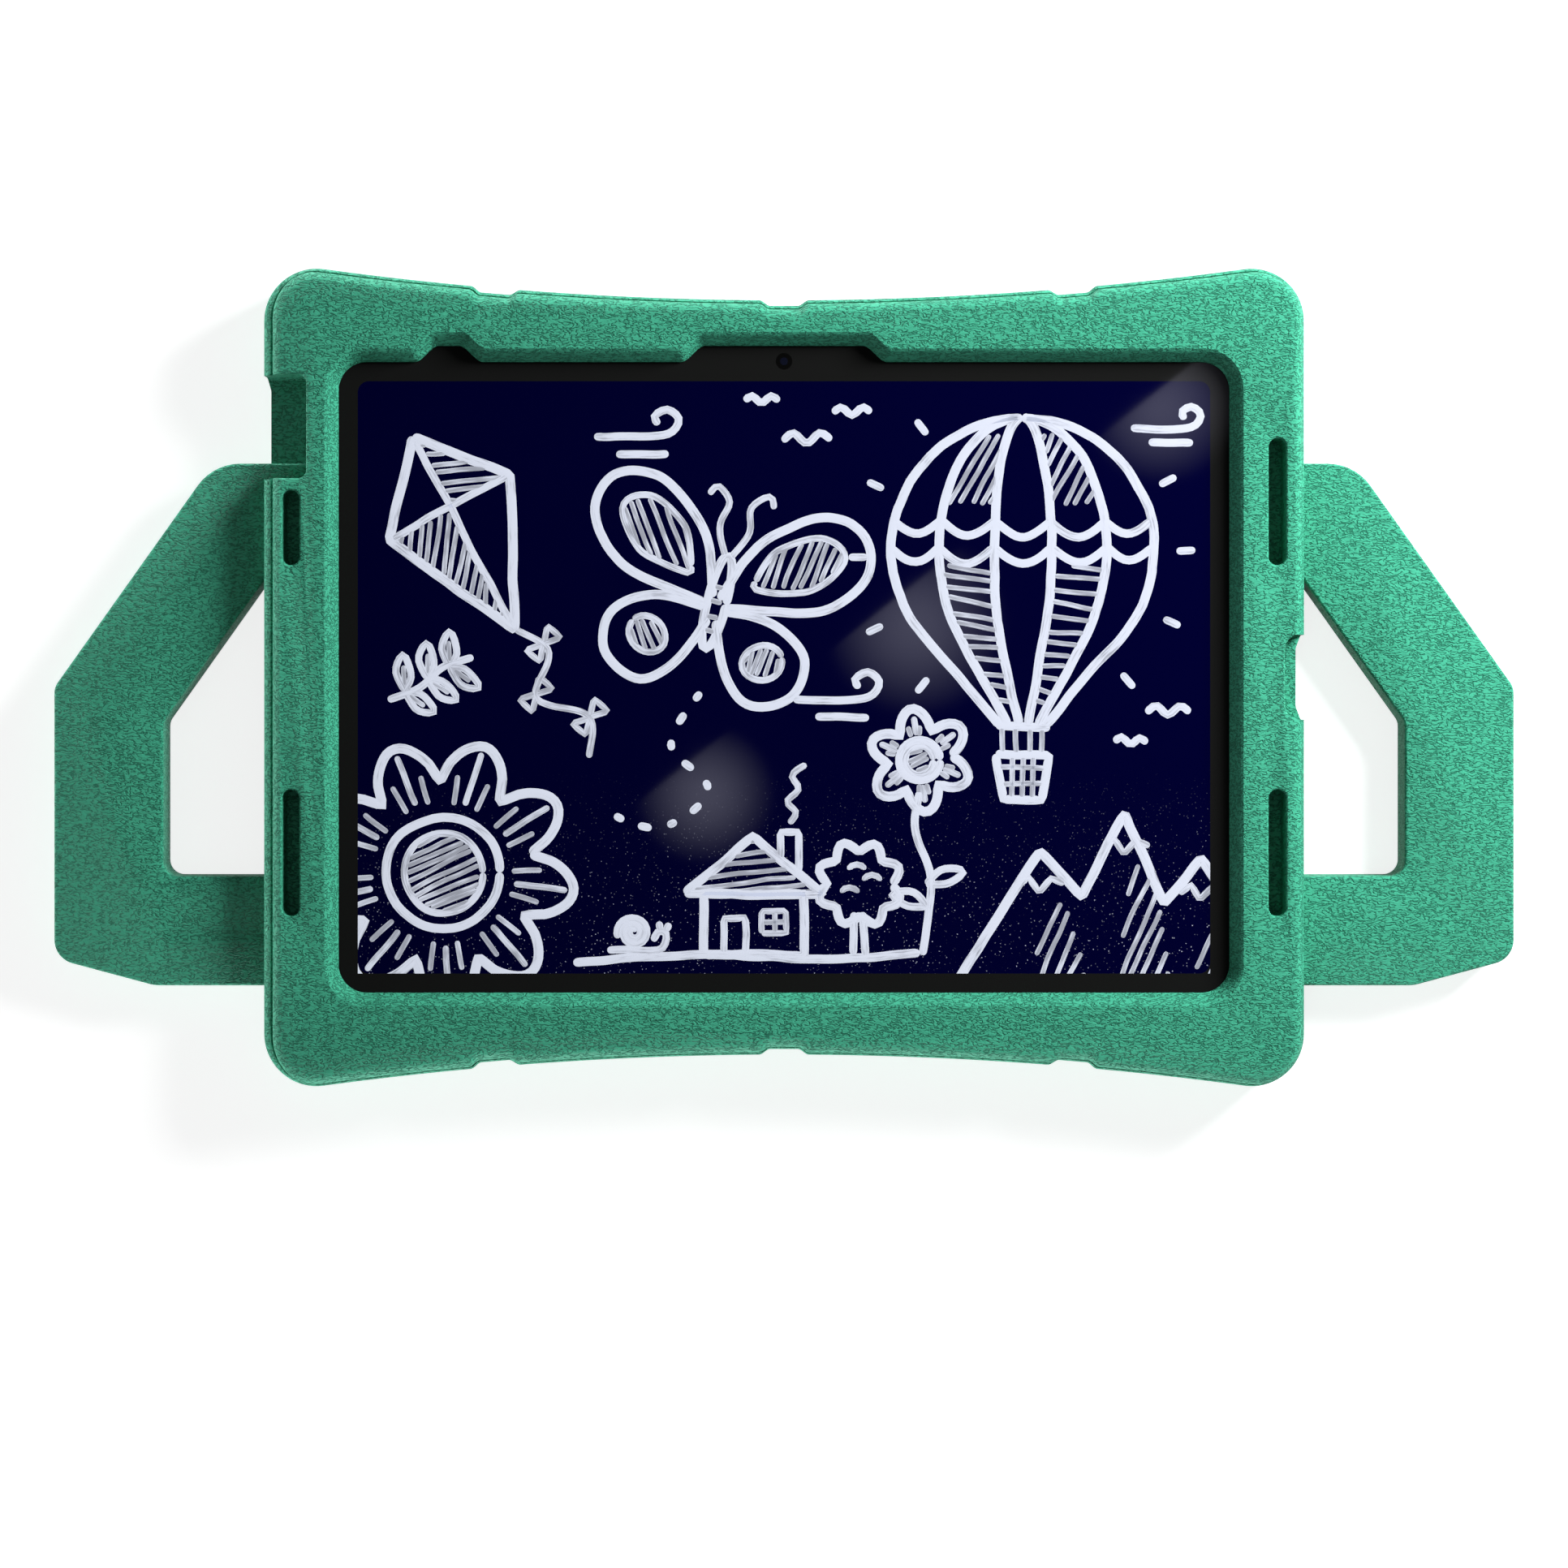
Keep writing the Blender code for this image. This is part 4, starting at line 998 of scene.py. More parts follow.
def draw_butterfly(pen):
    """Butterfly with four patterned wings."""
    upper = through([(1, 1), (7, 17), (22, 29), (35, 27), (38, 16), (27, 4), (3, -1)])
    lower = through([(2, -2), (16, -2), (27, -9), (26, -20), (15, -25), (6, -17), (1, -5)])
    cell = through([(9, 8), (13, 18), (24, 24), (31, 19), (24, 9), (10, 6), (9, 8)])
    spot = ellipse(16, -13, 5.5, 4.6, 0.0, 360.0, 30.0)
    feeler = through([(0.5, 12), (4, 20), (3, 27), (7, 31), (9, 28)])

    def flipped(points, flip):
        return [(u * flip, v) for u, v in points]

    for flip in (1, -1):
        for sketch, width in ((upper, 1.05), (lower, 1.05), (cell, 0.75), (spot, 0.75)):
            pen.line(flipped(sketch, flip), width)
        pen.hatch(flipped(cell, flip), 70.0 * flip)
        pen.hatch(flipped(spot, flip), 70.0 * flip, 1.8)
        pen.line(flipped(feeler, flip), 0.75)
    pen.line(ellipse(0.0, 0.0, 2.6, 13.0))
    for level in (-8.0, -4.0, 0.0, 4.0):
        pen.line([(-1.6, level), (1.6, level)], 0.6)


def draw_kite(pen):
    """Kite with two hatched quarters and bows along its tail."""
    top, right, low, left = (0.0, 1.0), (0.68, 0.22), (0.0, -1.15), (-0.68, 0.22)
    middle = (0.0, 0.22)
    pen.line([top, right, low, left, top], 1.1)
    pen.line([top, low], 0.85)
    pen.line([left, right], 0.85)
    pen.hatch((middle, right, top), 8.0)
    pen.hatch((middle, left, low), 82.0, 2.2)
    tail = through([low, (0.2, -1.5), (-0.12, -1.85), (0.25, -2.25), (0.05, -2.6)])
    pen.line(tail, 0.75)
    for spot in tail[6::9]:
        for flip in (1, -1):
            bow = [(0.0, 0.0), (0.16 * flip, 0.09), (0.16 * flip, -0.09), (0.0, 0.0)]
            pen.line(moved(bow, *spot, 1.0, 20.0), 0.7)


def draw_mountains(pen, peaks, ground):
    """Ridge of peaks with snow and hatched shady sides."""
    ridge = [(peaks[0][0] - 22.0, ground)]
    for (x, y), (next_x, next_y) in zip(peaks, peaks[1:]):
        ridge += [(x, y), ((x + next_x) / 2.0, min(y, next_y) - 12.0)]
    pen.line(ridge + [peaks[-1], (peaks[-1][0] + 22.0, ground)], 1.1)
    snow = [(-6.0, -9.5), (-3.0, -7.0), (-0.5, -11.0), (2.6, -7.5), (6.4, -9.0)]
    for x, y in peaks:
        pen.line(moved(snow, x, y), 0.75)
        pen.hatch([(x + 1.0, y - 14.0), (x + 7.5, y - 12.5), (x + 13.0, ground),
                   (x - 2.0, ground)], 66.0, 3.0)


def draw_tree(pen):
    """Round tree with a scalloped crown and tufts of leaves."""
    for side in (-0.12, 0.12):
        pen.line([(side, 0.0), (side * 0.8, 0.8)], 0.9)
    crown = ellipse(0.0, 1.35, 0.62, 0.6)[::5]
    pen.line(scallops(crown[::-1], 0.55), 1.05)
    for x, y in ((-0.2, 1.2), (0.22, 1.4), (-0.05, 1.62)):
        pen.line(ellipse(x, y, 0.15, 0.1, -5.0, 185.0), 0.7)


def draw_house(pen):
    """Small house with a tiled roof and smoke from its chimney."""
    walls = [(-0.7, 0.0), (-0.7, 0.85), (0.7, 0.85), (0.7, 0.0), (-0.7, 0.0)]
    roof = [(-0.95, 0.85), (0.0, 1.65), (0.95, 0.85), (-0.95, 0.85)]
    door = [(-0.42, 0.0), (-0.42, 0.52), (-0.12, 0.52), (-0.12, 0.0)]
    window = [(0.12, 0.3), (0.12, 0.62), (0.46, 0.62), (0.46, 0.3), (0.12, 0.3)]
    bars = ([(0.29, 0.3), (0.29, 0.62)], [(0.12, 0.46), (0.46, 0.46)])
    chimney = [(0.38, 1.34), (0.38, 1.72), (0.62, 1.72), (0.62, 1.14)]
    for chain, width in ((walls, 1.05), (roof, 1.05), (door, 0.8), (window, 0.7),
                         (bars[0], 0.6), (bars[1], 0.6), (chimney, 0.85)):
        pen.line(chain, width)
    pen.hatch(roof[:3], 8.0, 2.3)
    pen.line(through([(0.5, 1.82), (0.6, 1.98), (0.48, 2.14), (0.64, 2.32), (0.54, 2.5),
                      (0.74, 2.66)]), 0.75)


def draw_snail(pen):
    """Snail with a spiral shell."""
    shell = []
    for step in range(46):
        x, y = polar(0.5 * (1.0 - step / 50.0), 200.0 - 20.0 * step)
        shell.append((x, y + 0.52))
    foot = through([(-0.75, 0.02), (-0.2, 0.04), (0.5, 0.02), (0.85, 0.12), (0.95, 0.5),
                    (0.72, 0.6), (0.55, 0.3)])
    for chain in (shell, foot, [(0.8, 0.6), (0.74, 0.86)], [(0.94, 0.56), (1.04, 0.8)]):
        pen.line(chain, 0.85)


def draw_bird(pen):
    """Bird far away, as two bows."""
    pen.line(through([(-1.0, 0.1), (-0.55, 0.42), (0.0, 0.0), (0.55, 0.42), (1.0, 0.1)]), 0.9)


def draw_sprig(pen):
    """Stem with pairs of leaves."""
    pen.line(through([(0.0, 0.0), (0.06, 0.5), (-0.04, 1.0), (0.04, 1.5)]), 0.85)
    for level in (0.3, 0.7, 1.1):
        for flip in (1, -1):
            leaf = [(0.0, 0.0), (0.16 * flip, 0.2), (0.5 * flip, 0.26), (0.34 * flip, 0.02),
                    (0.0, 0.0)]
            vein = [(0.08 * flip, 0.04), (0.36 * flip, 0.18)]
            pen.line(moved(through(leaf), 0.0, level), 0.8)
            pen.line(moved(vein, 0.0, level), 0.55)


def draw_gusts(pen):
    """Curls of wind."""
    pen.line(through([(-1.3, 0.0), (0.0, 0.0), (0.55, 0.1), (0.74, 0.42), (0.46, 0.66),
                      (0.16, 0.5), (0.26, 0.28)]), 0.9)
    pen.line([(-0.8, -0.42), (0.5, -0.42)], 0.9)


def draw_picture(pen, half_x, half_y):
    """Outdoor scene that fills the screen, with some of it running off the edges."""
    ground = -half_y + 5.0
    balloon_x = 0.56 * half_x
    draw_balloon(pen.at(balloon_x, 34.0, 35.0))
    draw_kite(pen.at(-0.76 * half_x, 40.0, 27.0, 28.0))
    draw_butterfly(pen.at(-18.0, 20.0, 0.98, -14.0))
    draw_flower(pen.at(-0.80 * half_x, -0.66 * half_y, 40.0), 9, 12.0)
    draw_mountains(pen, [(0.60 * half_x, -46.0), (0.80 * half_x, -36.0), (0.98 * half_x, -48.0)],
                   -half_y - 2.0)
    draw_house(pen.at(-8.0, ground, 19.0))
    draw_tree(pen.at(20.0, ground, 14.0))
    pen.line(through([(37.0, ground), (39.0, -54.0), (35.0, -40.0), (36.0, -30.0)]), 0.9)
    for flip in (1.0, -1.0):
        leaf = [(0.0, 0.0), (0.5 * flip, 0.5), (1.2 * flip, 0.45), (0.7 * flip, 0.05), (0.0, 0.0)]
        pen.at(38.0, -58.0 + 3.0 * flip, 8.0).line(through(leaf), 0.85)
    draw_flower(pen.at(36.0, -22.0, 14.0), 6, 8.0)
    draw_snail(pen.at(-40.0, ground + 1.0, 9.0))
    draw_sprig(pen.at(-half_x + 8.0, -6.0, 17.0, -62.0))
    for place in ((6.0, 62.0, 6.5), (18.0, 70.0, 5.0), (-6.0, 73.0, 4.5), (102.0, -10.0, 6.0),
                  (92.0, -18.0, 4.5)):
        draw_bird(pen.at(*place))
    for place in ((17.0, -6.0, 11.0), (-36.0, 64.0, 11.0), (104.0, 66.0, 9.0)):
        draw_gusts(pen.at(*place))
    pen.dashes(through([(-22.0, -4.0), (-30.0, -18.0), (-20.0, -30.0), (-34.0, -40.0),
                        (-50.0, -34.0)]))
    for index in range(11):
        angle = 128.0 + 26.0 * index
        if abs(angle - 270.0) > 30.0:
            pen.at(balloon_x, 32.0).line([polar(41.0, angle), polar(46.0, angle)], 0.85)
    pen.line(through([(-56.0, ground - 2.0), (-20.0, ground), (10.0, ground - 1.0),
                      (36.0, ground + 0.5)]))


def chain_mesh(pen, centre):
    """The drawing as chains of edges on the glass, with a width and a boldness at each point."""
    mesh = bpy.data.meshes.new("screen_drawing")
    spots, edges, widths, boldness = [], [], [], []
    tip = 1.25
    for points, width in pen.lines:
        for index, (spot, to_end) in enumerate(spaced(points, 1.3)):
            if index:
                edges.append((len(spots) - 1, len(spots)))
            spots.append((centre.x + spot.x * MM, centre.y + spot.y * MM, GLASS_Z))
            short = 1.0 - min(1.0, (to_end + 0.03) / (tip * width))
            widths.append(width * math.sqrt(1.0 - short * short))
            boldness.append(width)
    mesh.from_pydata(spots, edges, [])
    for name, values in (("width", widths), ("boldness", boldness)):
        mesh.attributes.new(name, 'FLOAT', 'POINT').data.foreach_set("value", values)
    return mesh


def line_tree():
    """Geometry Nodes that turn chains of edges into flat drawn lines with an unsteady course."""
    tree = bpy.data.node_groups.new("drawn_lines", 'GeometryNodeTree')
    tree.interface.new_socket("Geometry", in_out='OUTPUT', socket_type='NodeSocketGeometry')
    for name, kind in (("Geometry", 'Geometry'), ("Stroke Width", 'Float'),
                       ("Stroke Height", 'Float'), ("Wobble", 'Float'), ("Seed", 'Int'),
                       ("Material", 'Material')):
        tree.interface.new_socket(name, in_out='INPUT', socket_type="NodeSocket" + kind)
    graph = Graph(tree)

    def given(name):
        return graph.node("NodeGroupInput", output=name)

    def stored(geometry, name, value):
        settings = {"data_type": 'FLOAT', "domain": 'POINT'}
        inputs = {"Geometry": geometry, "Name": name, "Value": value}
        return graph.node("GeometryNodeStoreNamedAttribute", settings, inputs)

    course = graph.node("GeometryNodeMeshToCurve", None, {"Mesh": given("Geometry")})
    line_number = graph.node("GeometryNodeFieldOnDomain", {"domain": 'CURVE'},
                             {0: graph.node("GeometryNodeInputIndex")})
    place = graph.node("GeometryNodeInputPosition")
    shake = graph.node("ShaderNodeTexNoise", {"noise_dimensions": '4D'},
                       {"Vector": place, "W": line_number * 3.7 + given("Seed"),
                        "Scale": 1.0 / (14.0 * MM), "Detail": 1.5}, "Color")
    centred = graph.vector('SUBTRACT', shake, (0.5, 0.5, 0.5))
    flat = graph.vector('MULTIPLY', centred, (1.0, 1.0, 0.0))
    offset = graph.node("ShaderNodeVectorMath", {"operation": 'SCALE'},
                        {0: flat, "Scale": given("Wobble")})
    course = graph.node("GeometryNodeSetPosition", None, {"Geometry": course, "Offset": offset})
    course = graph.node("GeometryNodeSetCurveNormal", {"mode": 'Z_UP'}, {"Curve": course})
    width = graph.node("GeometryNodeInputNamedAttribute", {"data_type": 'FLOAT'}, {"Name": "width"})
    course = stored(course, "along", graph.node("GeometryNodeSplineParameter", output="Length"))
    section = graph.node("GeometryNodeCurvePrimitiveCircle", None, {"Resolution": 6, "Radius": 0.5})
    section = stored(section, "across", graph.part(place, "X"))
    scale = graph.node("ShaderNodeCombineXYZ", None,
                       {"X": given("Stroke Width"), "Y": given("Stroke Height") * 2.0, "Z": 1.0})
    section = graph.node("GeometryNodeTransform", None, {"Geometry": section, "Scale": scale})
    ribbon = graph.node("GeometryNodeCurveToMesh", None,
                        {"Curve": course, "Profile Curve": section, "Scale": width,
                         "Fill Caps": True})
    ribbon = graph.node("GeometryNodeRealizeInstances", None, {"Geometry": ribbon})
    painted = graph.node("GeometryNodeSetMaterial", None,
                         {"Geometry": ribbon, "Material": given("Material")})
    graph.node("NodeGroupOutput", None, {0: painted})
    return tree


def run_tree(item, tree, **values):
    """Put a node group on a piece with its named inputs set, and keep what it makes."""
    step = item.modifiers.new(tree.name, 'NODES')
    step.node_group = tree
    for socket in tree.interface.items_tree:
        key = socket.name.replace(" ", "_")
        if socket.in_out == 'INPUT' and key in values:
            step[socket.identifier] = values[key]
    item.update_tag()
    freeze(item)


def clip_to_screen(item, low, high):
    """Cut a piece off at the edges of the screen and close the cuts."""
    build = bmesh.new()
    build.from_mesh(item.data)
    for corner, normal in ((low, (-1, 0, 0)), (low, (0, -1, 0)),
                           (high, (1, 0, 0)), (high, (0, 1, 0))):
        everything = build.verts[:] + build.edges[:] + build.faces[:]
        made = bmesh.ops.bisect_plane(build, geom=everything, plane_co=corner, plane_no=normal,
                                      clear_outer=True)
        rims = [part for part in made["geom_cut"] if isinstance(part, bmesh.types.BMEdge)]
        bmesh.ops.holes_fill(build, edges=rims, sides=0)
    build.to_mesh(item.data)
    build.free()


class TABLETCASE_OT_foam_case(Operator):
    """Make the moulded foam case: frame, lip, slots, cutouts and both arms"""
    bl_idname = "tabletcase.foam_case"
    bl_label = "Foam Case"

    def execute(self, context):
        settings = context.scene.tabletcase_foam
        rim, floor_round = settings.rim_round, settings.floor_round
        case = frame_body()
        cut_front(case)
        cut_slots(case, rim, floor_round)
        cut_sides(case, rim, floor_round)
        cut_camera_hole(case)
        add_arm(case, -1.0)
        add_arm(case, 1.0)
        shade(case)
        finish_piece(case, foam_material(settings))
        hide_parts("case")
        return {'FINISHED'}


class TABLETCASE_OT_tablet_front(Operator):
    """Finish the glass: black border, and the dark ground of the picture"""
    bl_idname = "tabletcase.tablet_front"
    bl_label = "Tablet Front"

    def execute(self, context):
        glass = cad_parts["cover_glass"]
        set_material(glass, glass_material(context.scene.tabletcase_screen))
        return {'FINISHED'}


class TABLETCASE_OT_screen_drawing(Operator):
    """Draw the picture's lines on the screen"""
    bl_idname = "tabletcase.screen_drawing"
    bl_label = "Screen Drawing"

    def execute(self, context):
        settings = context.scene.tabletcase_screen
        low, high = screen_corners()
        middle, half = (low + high) / 2.0, (high - low) / 2.0
        pen = Pen(random.Random(settings.seed), [])
        draw_picture(pen, half.x / MM, half.y / MM)
        item = bpy.data.objects.new("screen_drawing", chain_mesh(pen, middle))
        context.scene.collection.objects.link(item)
        material = chalk_material(settings)
        run_tree(item, line_tree(), Stroke_Width=settings.stroke_width,
                 Stroke_Height=settings.stroke_height, Wobble=settings.wobble,
                 Seed=settings.seed, Material=material)
        clip_to_screen(item, low, high)
        shade(item, 60.0)
        finish_piece(item, material)
        return {'FINISHED'}


def metal_material(name, colour, grit):
    """Blasted and anodised metal with a fine sparkle."""
    material, graph, shader = material_graph(name, colour, 0.36, Metallic=1.0)
    place = graph.place()
    speckle = graph.noise(place, grit, 2.0, 0.7)
    cloud = graph.noise(place, 30.0 * MM)
    tone = (speckle * 0.6 + cloud * 0.4).step(0.3, 0.7)
    dull, bright = shades(colour, 0.88, 1.08)
    feed(graph, shader, Base_Color=graph.mix(tone, dull, bright),
         Roughness=0.30 + speckle * 0.14, Normal=graph.bump(speckle, 0.02 * MM))
    return material


def steel_material():
    """Drawn steel with fine lines along its length."""
    colour = (0.56, 0.56, 0.58)
    material, graph, shader = material_graph("port_steel", colour, 0.3, Metallic=1.0)
    lines = graph.noise(graph.vector('MULTIPLY', graph.place(), (1.0, 14.0, 14.0)), 2.4 * MM, 3.0)
    dull, bright = shades(colour, 0.8, 1.1)
    feed(graph, shader, Base_Color=graph.mix(lines, dull, bright), Roughness=0.22 + lines * 0.2)
    return material


def plastic_material(name, colour, grain, roughness=0.5):
    """Dark moulded plastic with a fine spark-eroded grain."""
    material, graph, shader = material_graph(name, colour, roughness)
    place = graph.place()
    fine = graph.noise(place, grain, 3.0, 0.6)
    broad = graph.noise(place, 9.0 * MM)
    dull, bright = shades(colour, 0.75, 1.35)
    feed(graph, shader, Base_Color=graph.mix(fine * 0.6 + broad * 0.4, dull, bright),
         Roughness=roughness - 0.08 + fine * 0.16, Normal=graph.bump(fine, 0.03 * MM))
    return material


def lens_material(name, node):
    """Black glass with a coated pupil and a fine ring around it."""
    low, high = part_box(node)
    middle = (low + high) / 2.0
    edge = (high.x - low.x) / 2.0
    colour = (0.012, 0.012, 0.014)
    material, graph, shader = material_graph(name, colour, 0.08, Coat_Weight=0.6)
    away = graph.vector('SUBTRACT', graph.place(), tuple(middle))
    flat = graph.vector('MULTIPLY', away, (1.0 / edge, 1.0 / edge, 0.0))
    reach = graph.node("ShaderNodeVectorMath", {"operation": 'LENGTH'}, {0: flat}, "Value")
    pupil = 1.0 - reach.step(0.40, 0.48)
    ring = reach.step(0.70, 0.73) - reach.step(0.78, 0.81)
    tinted = graph.mix(pupil, (*colour, 1.0), (0.010, 0.014, 0.045, 1.0))
    feed(graph, shader, Base_Color=graph.mix(ring, tinted, (0.09, 0.09, 0.10, 1.0)),
         Roughness=0.07 + ring * 0.3)
    return material


def board_material():
    """Lacquered circuit board with tracks and tinned pads."""
    colour = (0.012, 0.085, 0.045)
    material, graph, shader = material_graph("circuit_lacquer", colour, 0.35, Coat_Weight=0.3)
    place = graph.place()
    slanted = graph.node("ShaderNodeVectorRotate", {"rotation_type": 'Z_AXIS'},
                         {"Vector": graph.warped(place, 9.0 * MM, 2.0 * MM),
                          "Angle": math.radians(45.0)})
    tracks = graph.node("ShaderNodeTexWave", {"wave_type": 'BANDS', "bands_direction": 'X'},
                        {"Vector": slanted, "Scale": 1.0 / (4.0 * MM)}, "Fac")
    line = tracks.step(0.72, 0.8)
    pad = 1.0 - graph.cells(place, 3.2 * MM).step(0.14, 0.18)
    dull, bright = shades(colour, 1.0, 2.1)
    lacquer = graph.mix(line, dull, bright)
    feed(graph, shader, Base_Color=graph.mix(pad, lacquer, (0.62, 0.60, 0.55, 1.0)),
         Metallic=pad, Roughness=0.36 - line * 0.06, Normal=graph.bump(line + pad, 0.03 * MM))
    return material


def battery_material():
    """Black film around a battery cell, with soft wrinkles and a seam."""
    colour = (0.020, 0.020, 0.022)
    material, graph, shader = material_graph("battery_film", colour, 0.5)
    place = graph.place()
    wrinkle = graph.noise(graph.warped(place, 8.0 * MM, 5.0 * MM), 11.0 * MM, 3.0)
    y = graph.part(place, "Y")
    seam = y.step(58.0 * MM, 58.3 * MM) - y.step(58.9 * MM, 59.2 * MM)
    dull, bright = shades(colour, 0.8, 1.6)
    feed(graph, shader, Base_Color=graph.mix(wrinkle, dull, bright),
         Roughness=0.42 + wrinkle * 0.2, Normal=graph.bump(wrinkle * 0.4 + seam, 0.12 * MM))
    return material


def panel_material(settings):
    """Display film with its fine grid of pixels."""
    colour = tuple(settings.picture_colour)
    pixel = 0.2 * MM
    material, graph, shader = material_graph("display_film", colour, 0.25)
    grid = graph.node("ShaderNodeTexBrick", {"offset": 0.0, "squash": 1.0},
                      {"Vector": graph.place(), "Scale": 1.0, "Mortar Size": 0.1 * pixel,
                       "Brick Width": pixel, "Row Height": pixel}, "Fac")
    plain, line = shades(colour, 1.0, 0.5)
    feed(graph, shader, Base_Color=graph.mix(grid, plain, line), Roughness=0.22 + grid * 0.1)
    return material


class TABLETCASE_OT_tablet_parts(Operator):
    """Finish the tablet's housing, keys and the parts inside it"""
    bl_idname = "tabletcase.tablet_parts"
    bl_label = "Tablet Parts"

    def execute(self, context):
        settings = context.scene.tabletcase_screen
        aluminium = metal_material("anodised_housing", (0.50, 0.51, 0.53), 0.25 * MM)
        keys = metal_material("anodised_keys", (0.46, 0.47, 0.49), 0.2 * MM)
        plastic = plastic_material("inner_plastic", (0.022, 0.022, 0.024), 0.3 * MM)
        board, film = board_material(), battery_material()
        finishes = {
            "tablet_housing": aluminium, "power_button": keys, "volume_up_button": keys,
            "volume_down_button": keys, "display_panel": panel_material(settings),
            "front_camera": lens_material("front_lens", "front_camera"),
            "rear_camera_module": plastic_material("camera_plastic", (0.012,) * 3, 0.2 * MM, 0.35),
            "rear_camera_lens": lens_material("rear_lens", "rear_camera_lens"),
            "battery_cell_left": film, "battery_cell_right": film, "logic_board": board,
            "port_board": board, "usb_port": steel_material(),
            "usb_port_tongue": plastic_material("port_tongue", (0.03,) * 3, 0.25 * MM, 0.45),
            "power_switch": plastic, "volume_switch": plastic}
        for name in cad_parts:
            if name.startswith("speaker"):
                finishes[name] = plastic
        for name, material in finishes.items():
            set_material(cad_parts[name], material)
        return {'FINISHED'}


class TABLETCASE_OT_stage(Operator):
    """Set up the floor, the lamps, the world and the camera"""
    bl_idname = "tabletcase.stage"
    bl_label = "Stage"

    def execute(self, context):
        settings = context.scene.tabletcase_studio
        make_floor()
        make_world(settings)
        make_lamps(settings)
        make_glare(settings)
        make_camera(settings)
        context.scene.view_settings.view_transform = 'Standard'
        return {'FINISHED'}


def square_sheet(name, reach, height, material, facing=1.0):
    """Level square of the stage, facing up for 1 and down for -1."""
    mesh = bpy.data.meshes.new(name)
    corners = ((-1.0, -facing), (1.0, -facing), (1.0, facing), (-1.0, facing))
    mesh.from_pydata([(x * reach, y * reach, height) for x, y in corners], [], [(0, 1, 2, 3)])
    mesh.materials.append(material)
    sheet = bpy.data.objects.new(name, mesh)
    bpy.context.scene.collection.objects.link(sheet)
    return sheet


def make_floor():
    """Pale floor that keeps the shadow and shows white where it is lit."""
    material = bpy.data.materials.new("floor_paper")
    graph = bare_graph(material)
    paper = graph.node("ShaderNodeBsdfDiffuse", None, {"Color": (*(FLOOR_GREY,) * 3, 1.0)})
    glow = graph.node("ShaderNodeEmission", None, {"Strength": FLOOR_GLOW})
    seen = graph.ray("Is Camera Ray").math('MAXIMUM', graph.ray("Is Glossy Ray"))
    lit = graph.node("ShaderNodeAddShader", None, {0: paper, 1: glow})
    shown = graph.node("ShaderNodeMixShader", None, {0: seen, 1: paper, 2: lit})
    graph.node("ShaderNodeOutputMaterial", None, {"Surface": shown})
    square_sheet("floor", FLOOR_REACH, 0.0, material)


def make_world(settings):
    """White to the camera, a plain soft fill for everything else."""
    world = bpy.data.worlds.new("studio")
    graph = bare_graph(world)
    direct = graph.ray("Is Camera Ray")
    height = graph.part(graph.node("ShaderNodeTexCoord", output="Generated"), "Z")
    low_down = (1.0 - height.math('ABSOLUTE')) ** 3.0
    overhead = height.math('MAXIMUM', 0.0) ** 8.0
    zenith = overhead * graph.ray("Is Diffuse Ray") * settings.zenith_strength
    mirrored = graph.ray("Is Glossy Ray").math('MAXIMUM', graph.ray("Is Transmission Ray"))
    backdrop = mirrored * (1.0 - height.math('ABSOLUTE').step(0.2, 0.65))
    fill = low_down * settings.horizon_strength + zenith + backdrop + settings.fill_strength
    strength = direct + (1.0 - direct) * fill
    sky = graph.node("ShaderNodeBackground", None, {"Strength": strength})
    graph.node("ShaderNodeOutputWorld", None, {"Surface": sky})
    bpy.context.scene.world = world


def add_lamp(name, place, target, power, length, height=None):
    """Soft lamp that faces a point: a square, or a strip of this height."""
    light = bpy.data.lights.new(name, 'AREA')
    light.energy = power
    light.size = length
    if height:
        light.shape = 'RECTANGLE'
        light.size_y = height
    lamp = bpy.data.objects.new(name, light)
    lamp.location = place
    lamp.rotation_euler = (Vector(target) - Vector(place)).to_track_quat('-Z', 'Y').to_euler()
    bpy.context.scene.collection.objects.link(lamp)
    return lamp


def make_lamps(settings):
    """Key light near and low at the upper right, a weak one at the lower left, and strips
    below the level of the front that reach only the outer rim."""
    key = add_lamp("key_light", KEY_PLACE, (0.0, 0.0, 0.0), settings.key_power, KEY_SIZE)
    key.visible_glossy = False
    add_lamp("rim_light", RIM_PLACE, (0.0, 0.0, 0.01), settings.rim_power, RIM_SIZE)
    for name, x, y, share in STRIPS:
        add_lamp(name, (x, y, STRIP_LEVEL), (0.0, 0.0, STRIP_LEVEL), share * settings.edge_power,
                 STRIP_LENGTH, STRIP_HEIGHT)


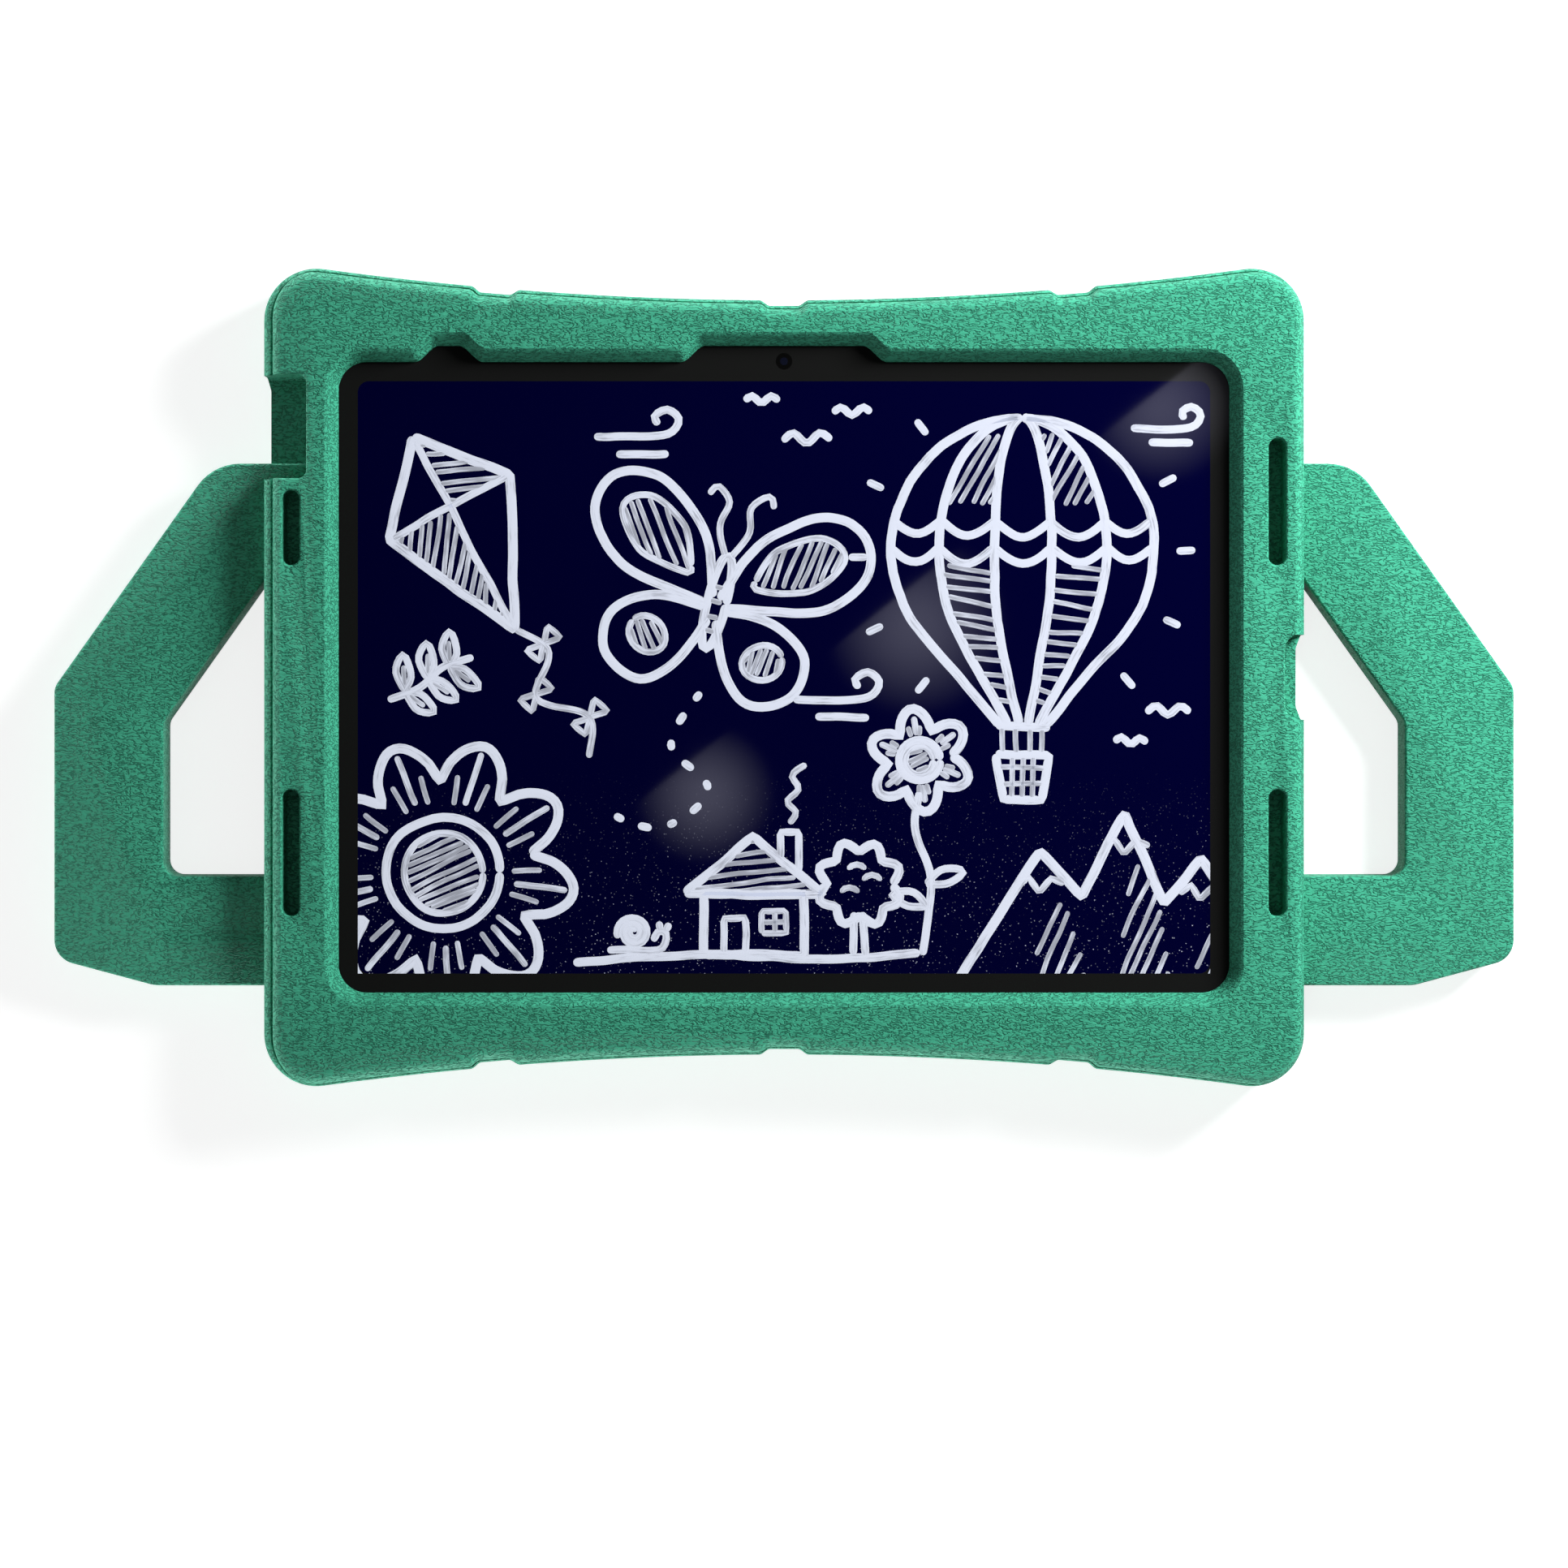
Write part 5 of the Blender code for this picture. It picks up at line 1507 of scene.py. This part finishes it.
def make_glare(settings):
    """Card of light behind the camera, whose reflection crosses the glass on a slant."""
    enlarged = 3.0
    height = GLASS_Z + (enlarged - 1.0) * (settings.camera_height + FRONT_Z - GLASS_Z)
    material = bpy.data.materials.new("glare_glow")
    graph = bare_graph(material)
    place = graph.place()
    x, y = graph.part(place, "X") / enlarged, graph.part(place, "Y") / enlarged
    edge_x, edge_y = GLARE_EDGE
    below = (x - edge_x) * math.sin(GLARE_SLANT) - (y - edge_y) * math.cos(GLARE_SLANT)
    glow = 0.0
    for middle_x, middle_y, radius in GLARE_PATCHES:
        away = ((x - middle_x) ** 2.0 + (y - middle_y) ** 2.0).math('SQRT')
        glow = (1.0 - away / radius).step(0.0, 1.0) + glow
    shine = below.step(-0.4 * MM, 0.4 * MM) * glow * settings.glare_strength
    lit = graph.node("ShaderNodeEmission", None, {"Color": GLARE_COLOUR, "Strength": shine})
    graph.node("ShaderNodeOutputMaterial", None, {"Surface": lit})
    card = square_sheet("glare_card", enlarged * GLARE_REACH, height, material, -1.0)
    card.visible_camera = False
    card.visible_diffuse = False
    card.visible_shadow = False


def make_camera(settings):
    """Camera over the case, with the photograph's framing."""
    camera = bpy.data.cameras.new("camera")
    camera.sensor_width = 36.0
    distance = settings.camera_height
    camera.lens = camera.sensor_width * (distance + FRONT_Z - GLASS_Z) / PHOTO_WIDTH
    camera.shift_y = PHOTO_SHIFT
    item = bpy.data.objects.new("camera", camera)
    item.location = (0.0, 0.0, FRONT_Z + distance)
    bpy.context.scene.collection.objects.link(item)
    bpy.context.scene.camera = item


class TABLETCASE_PT_panel(Panel):
    """Buttons that make the tablet case piece by piece"""
    bl_idname = "TABLETCASE_PT_panel"
    bl_label = "Tablet Case"
    bl_space_type = 'VIEW_3D'
    bl_region_type = 'UI'
    bl_category = "Tablet Case"

    def draw(self, context):
        scene = context.scene
        for settings in (scene.tabletcase_foam, scene.tabletcase_screen, scene.tabletcase_studio):
            box = self.layout.box()
            for name in settings.__annotations__:
                box.prop(settings, name)
        for operator in OPERATORS:
            self.layout.operator(operator.bl_idname)


OPERATORS = (TABLETCASE_OT_foam_case, TABLETCASE_OT_tablet_front,
             TABLETCASE_OT_screen_drawing, TABLETCASE_OT_tablet_parts, TABLETCASE_OT_stage)
GROUPS = {"tabletcase_foam": FoamSettings, "tabletcase_screen": ScreenSettings,
          "tabletcase_studio": StudioSettings}


def register():
    for item in (*GROUPS.values(), *OPERATORS, TABLETCASE_PT_panel):
        bpy.utils.register_class(item)
    for name, group in GROUPS.items():
        setattr(bpy.types.Scene, name, PointerProperty(type=group))


def unregister():
    for name in GROUPS:
        delattr(bpy.types.Scene, name)
    for item in reversed((*GROUPS.values(), *OPERATORS, TABLETCASE_PT_panel)):
        bpy.utils.unregister_class(item)


def main():
    """Make every piece in order."""
    register()
    bpy.ops.tabletcase.foam_case()
    bpy.ops.tabletcase.tablet_front()
    bpy.ops.tabletcase.screen_drawing()
    bpy.ops.tabletcase.tablet_parts()
    bpy.ops.tabletcase.stage()


if __name__ == "__main__":
    main()
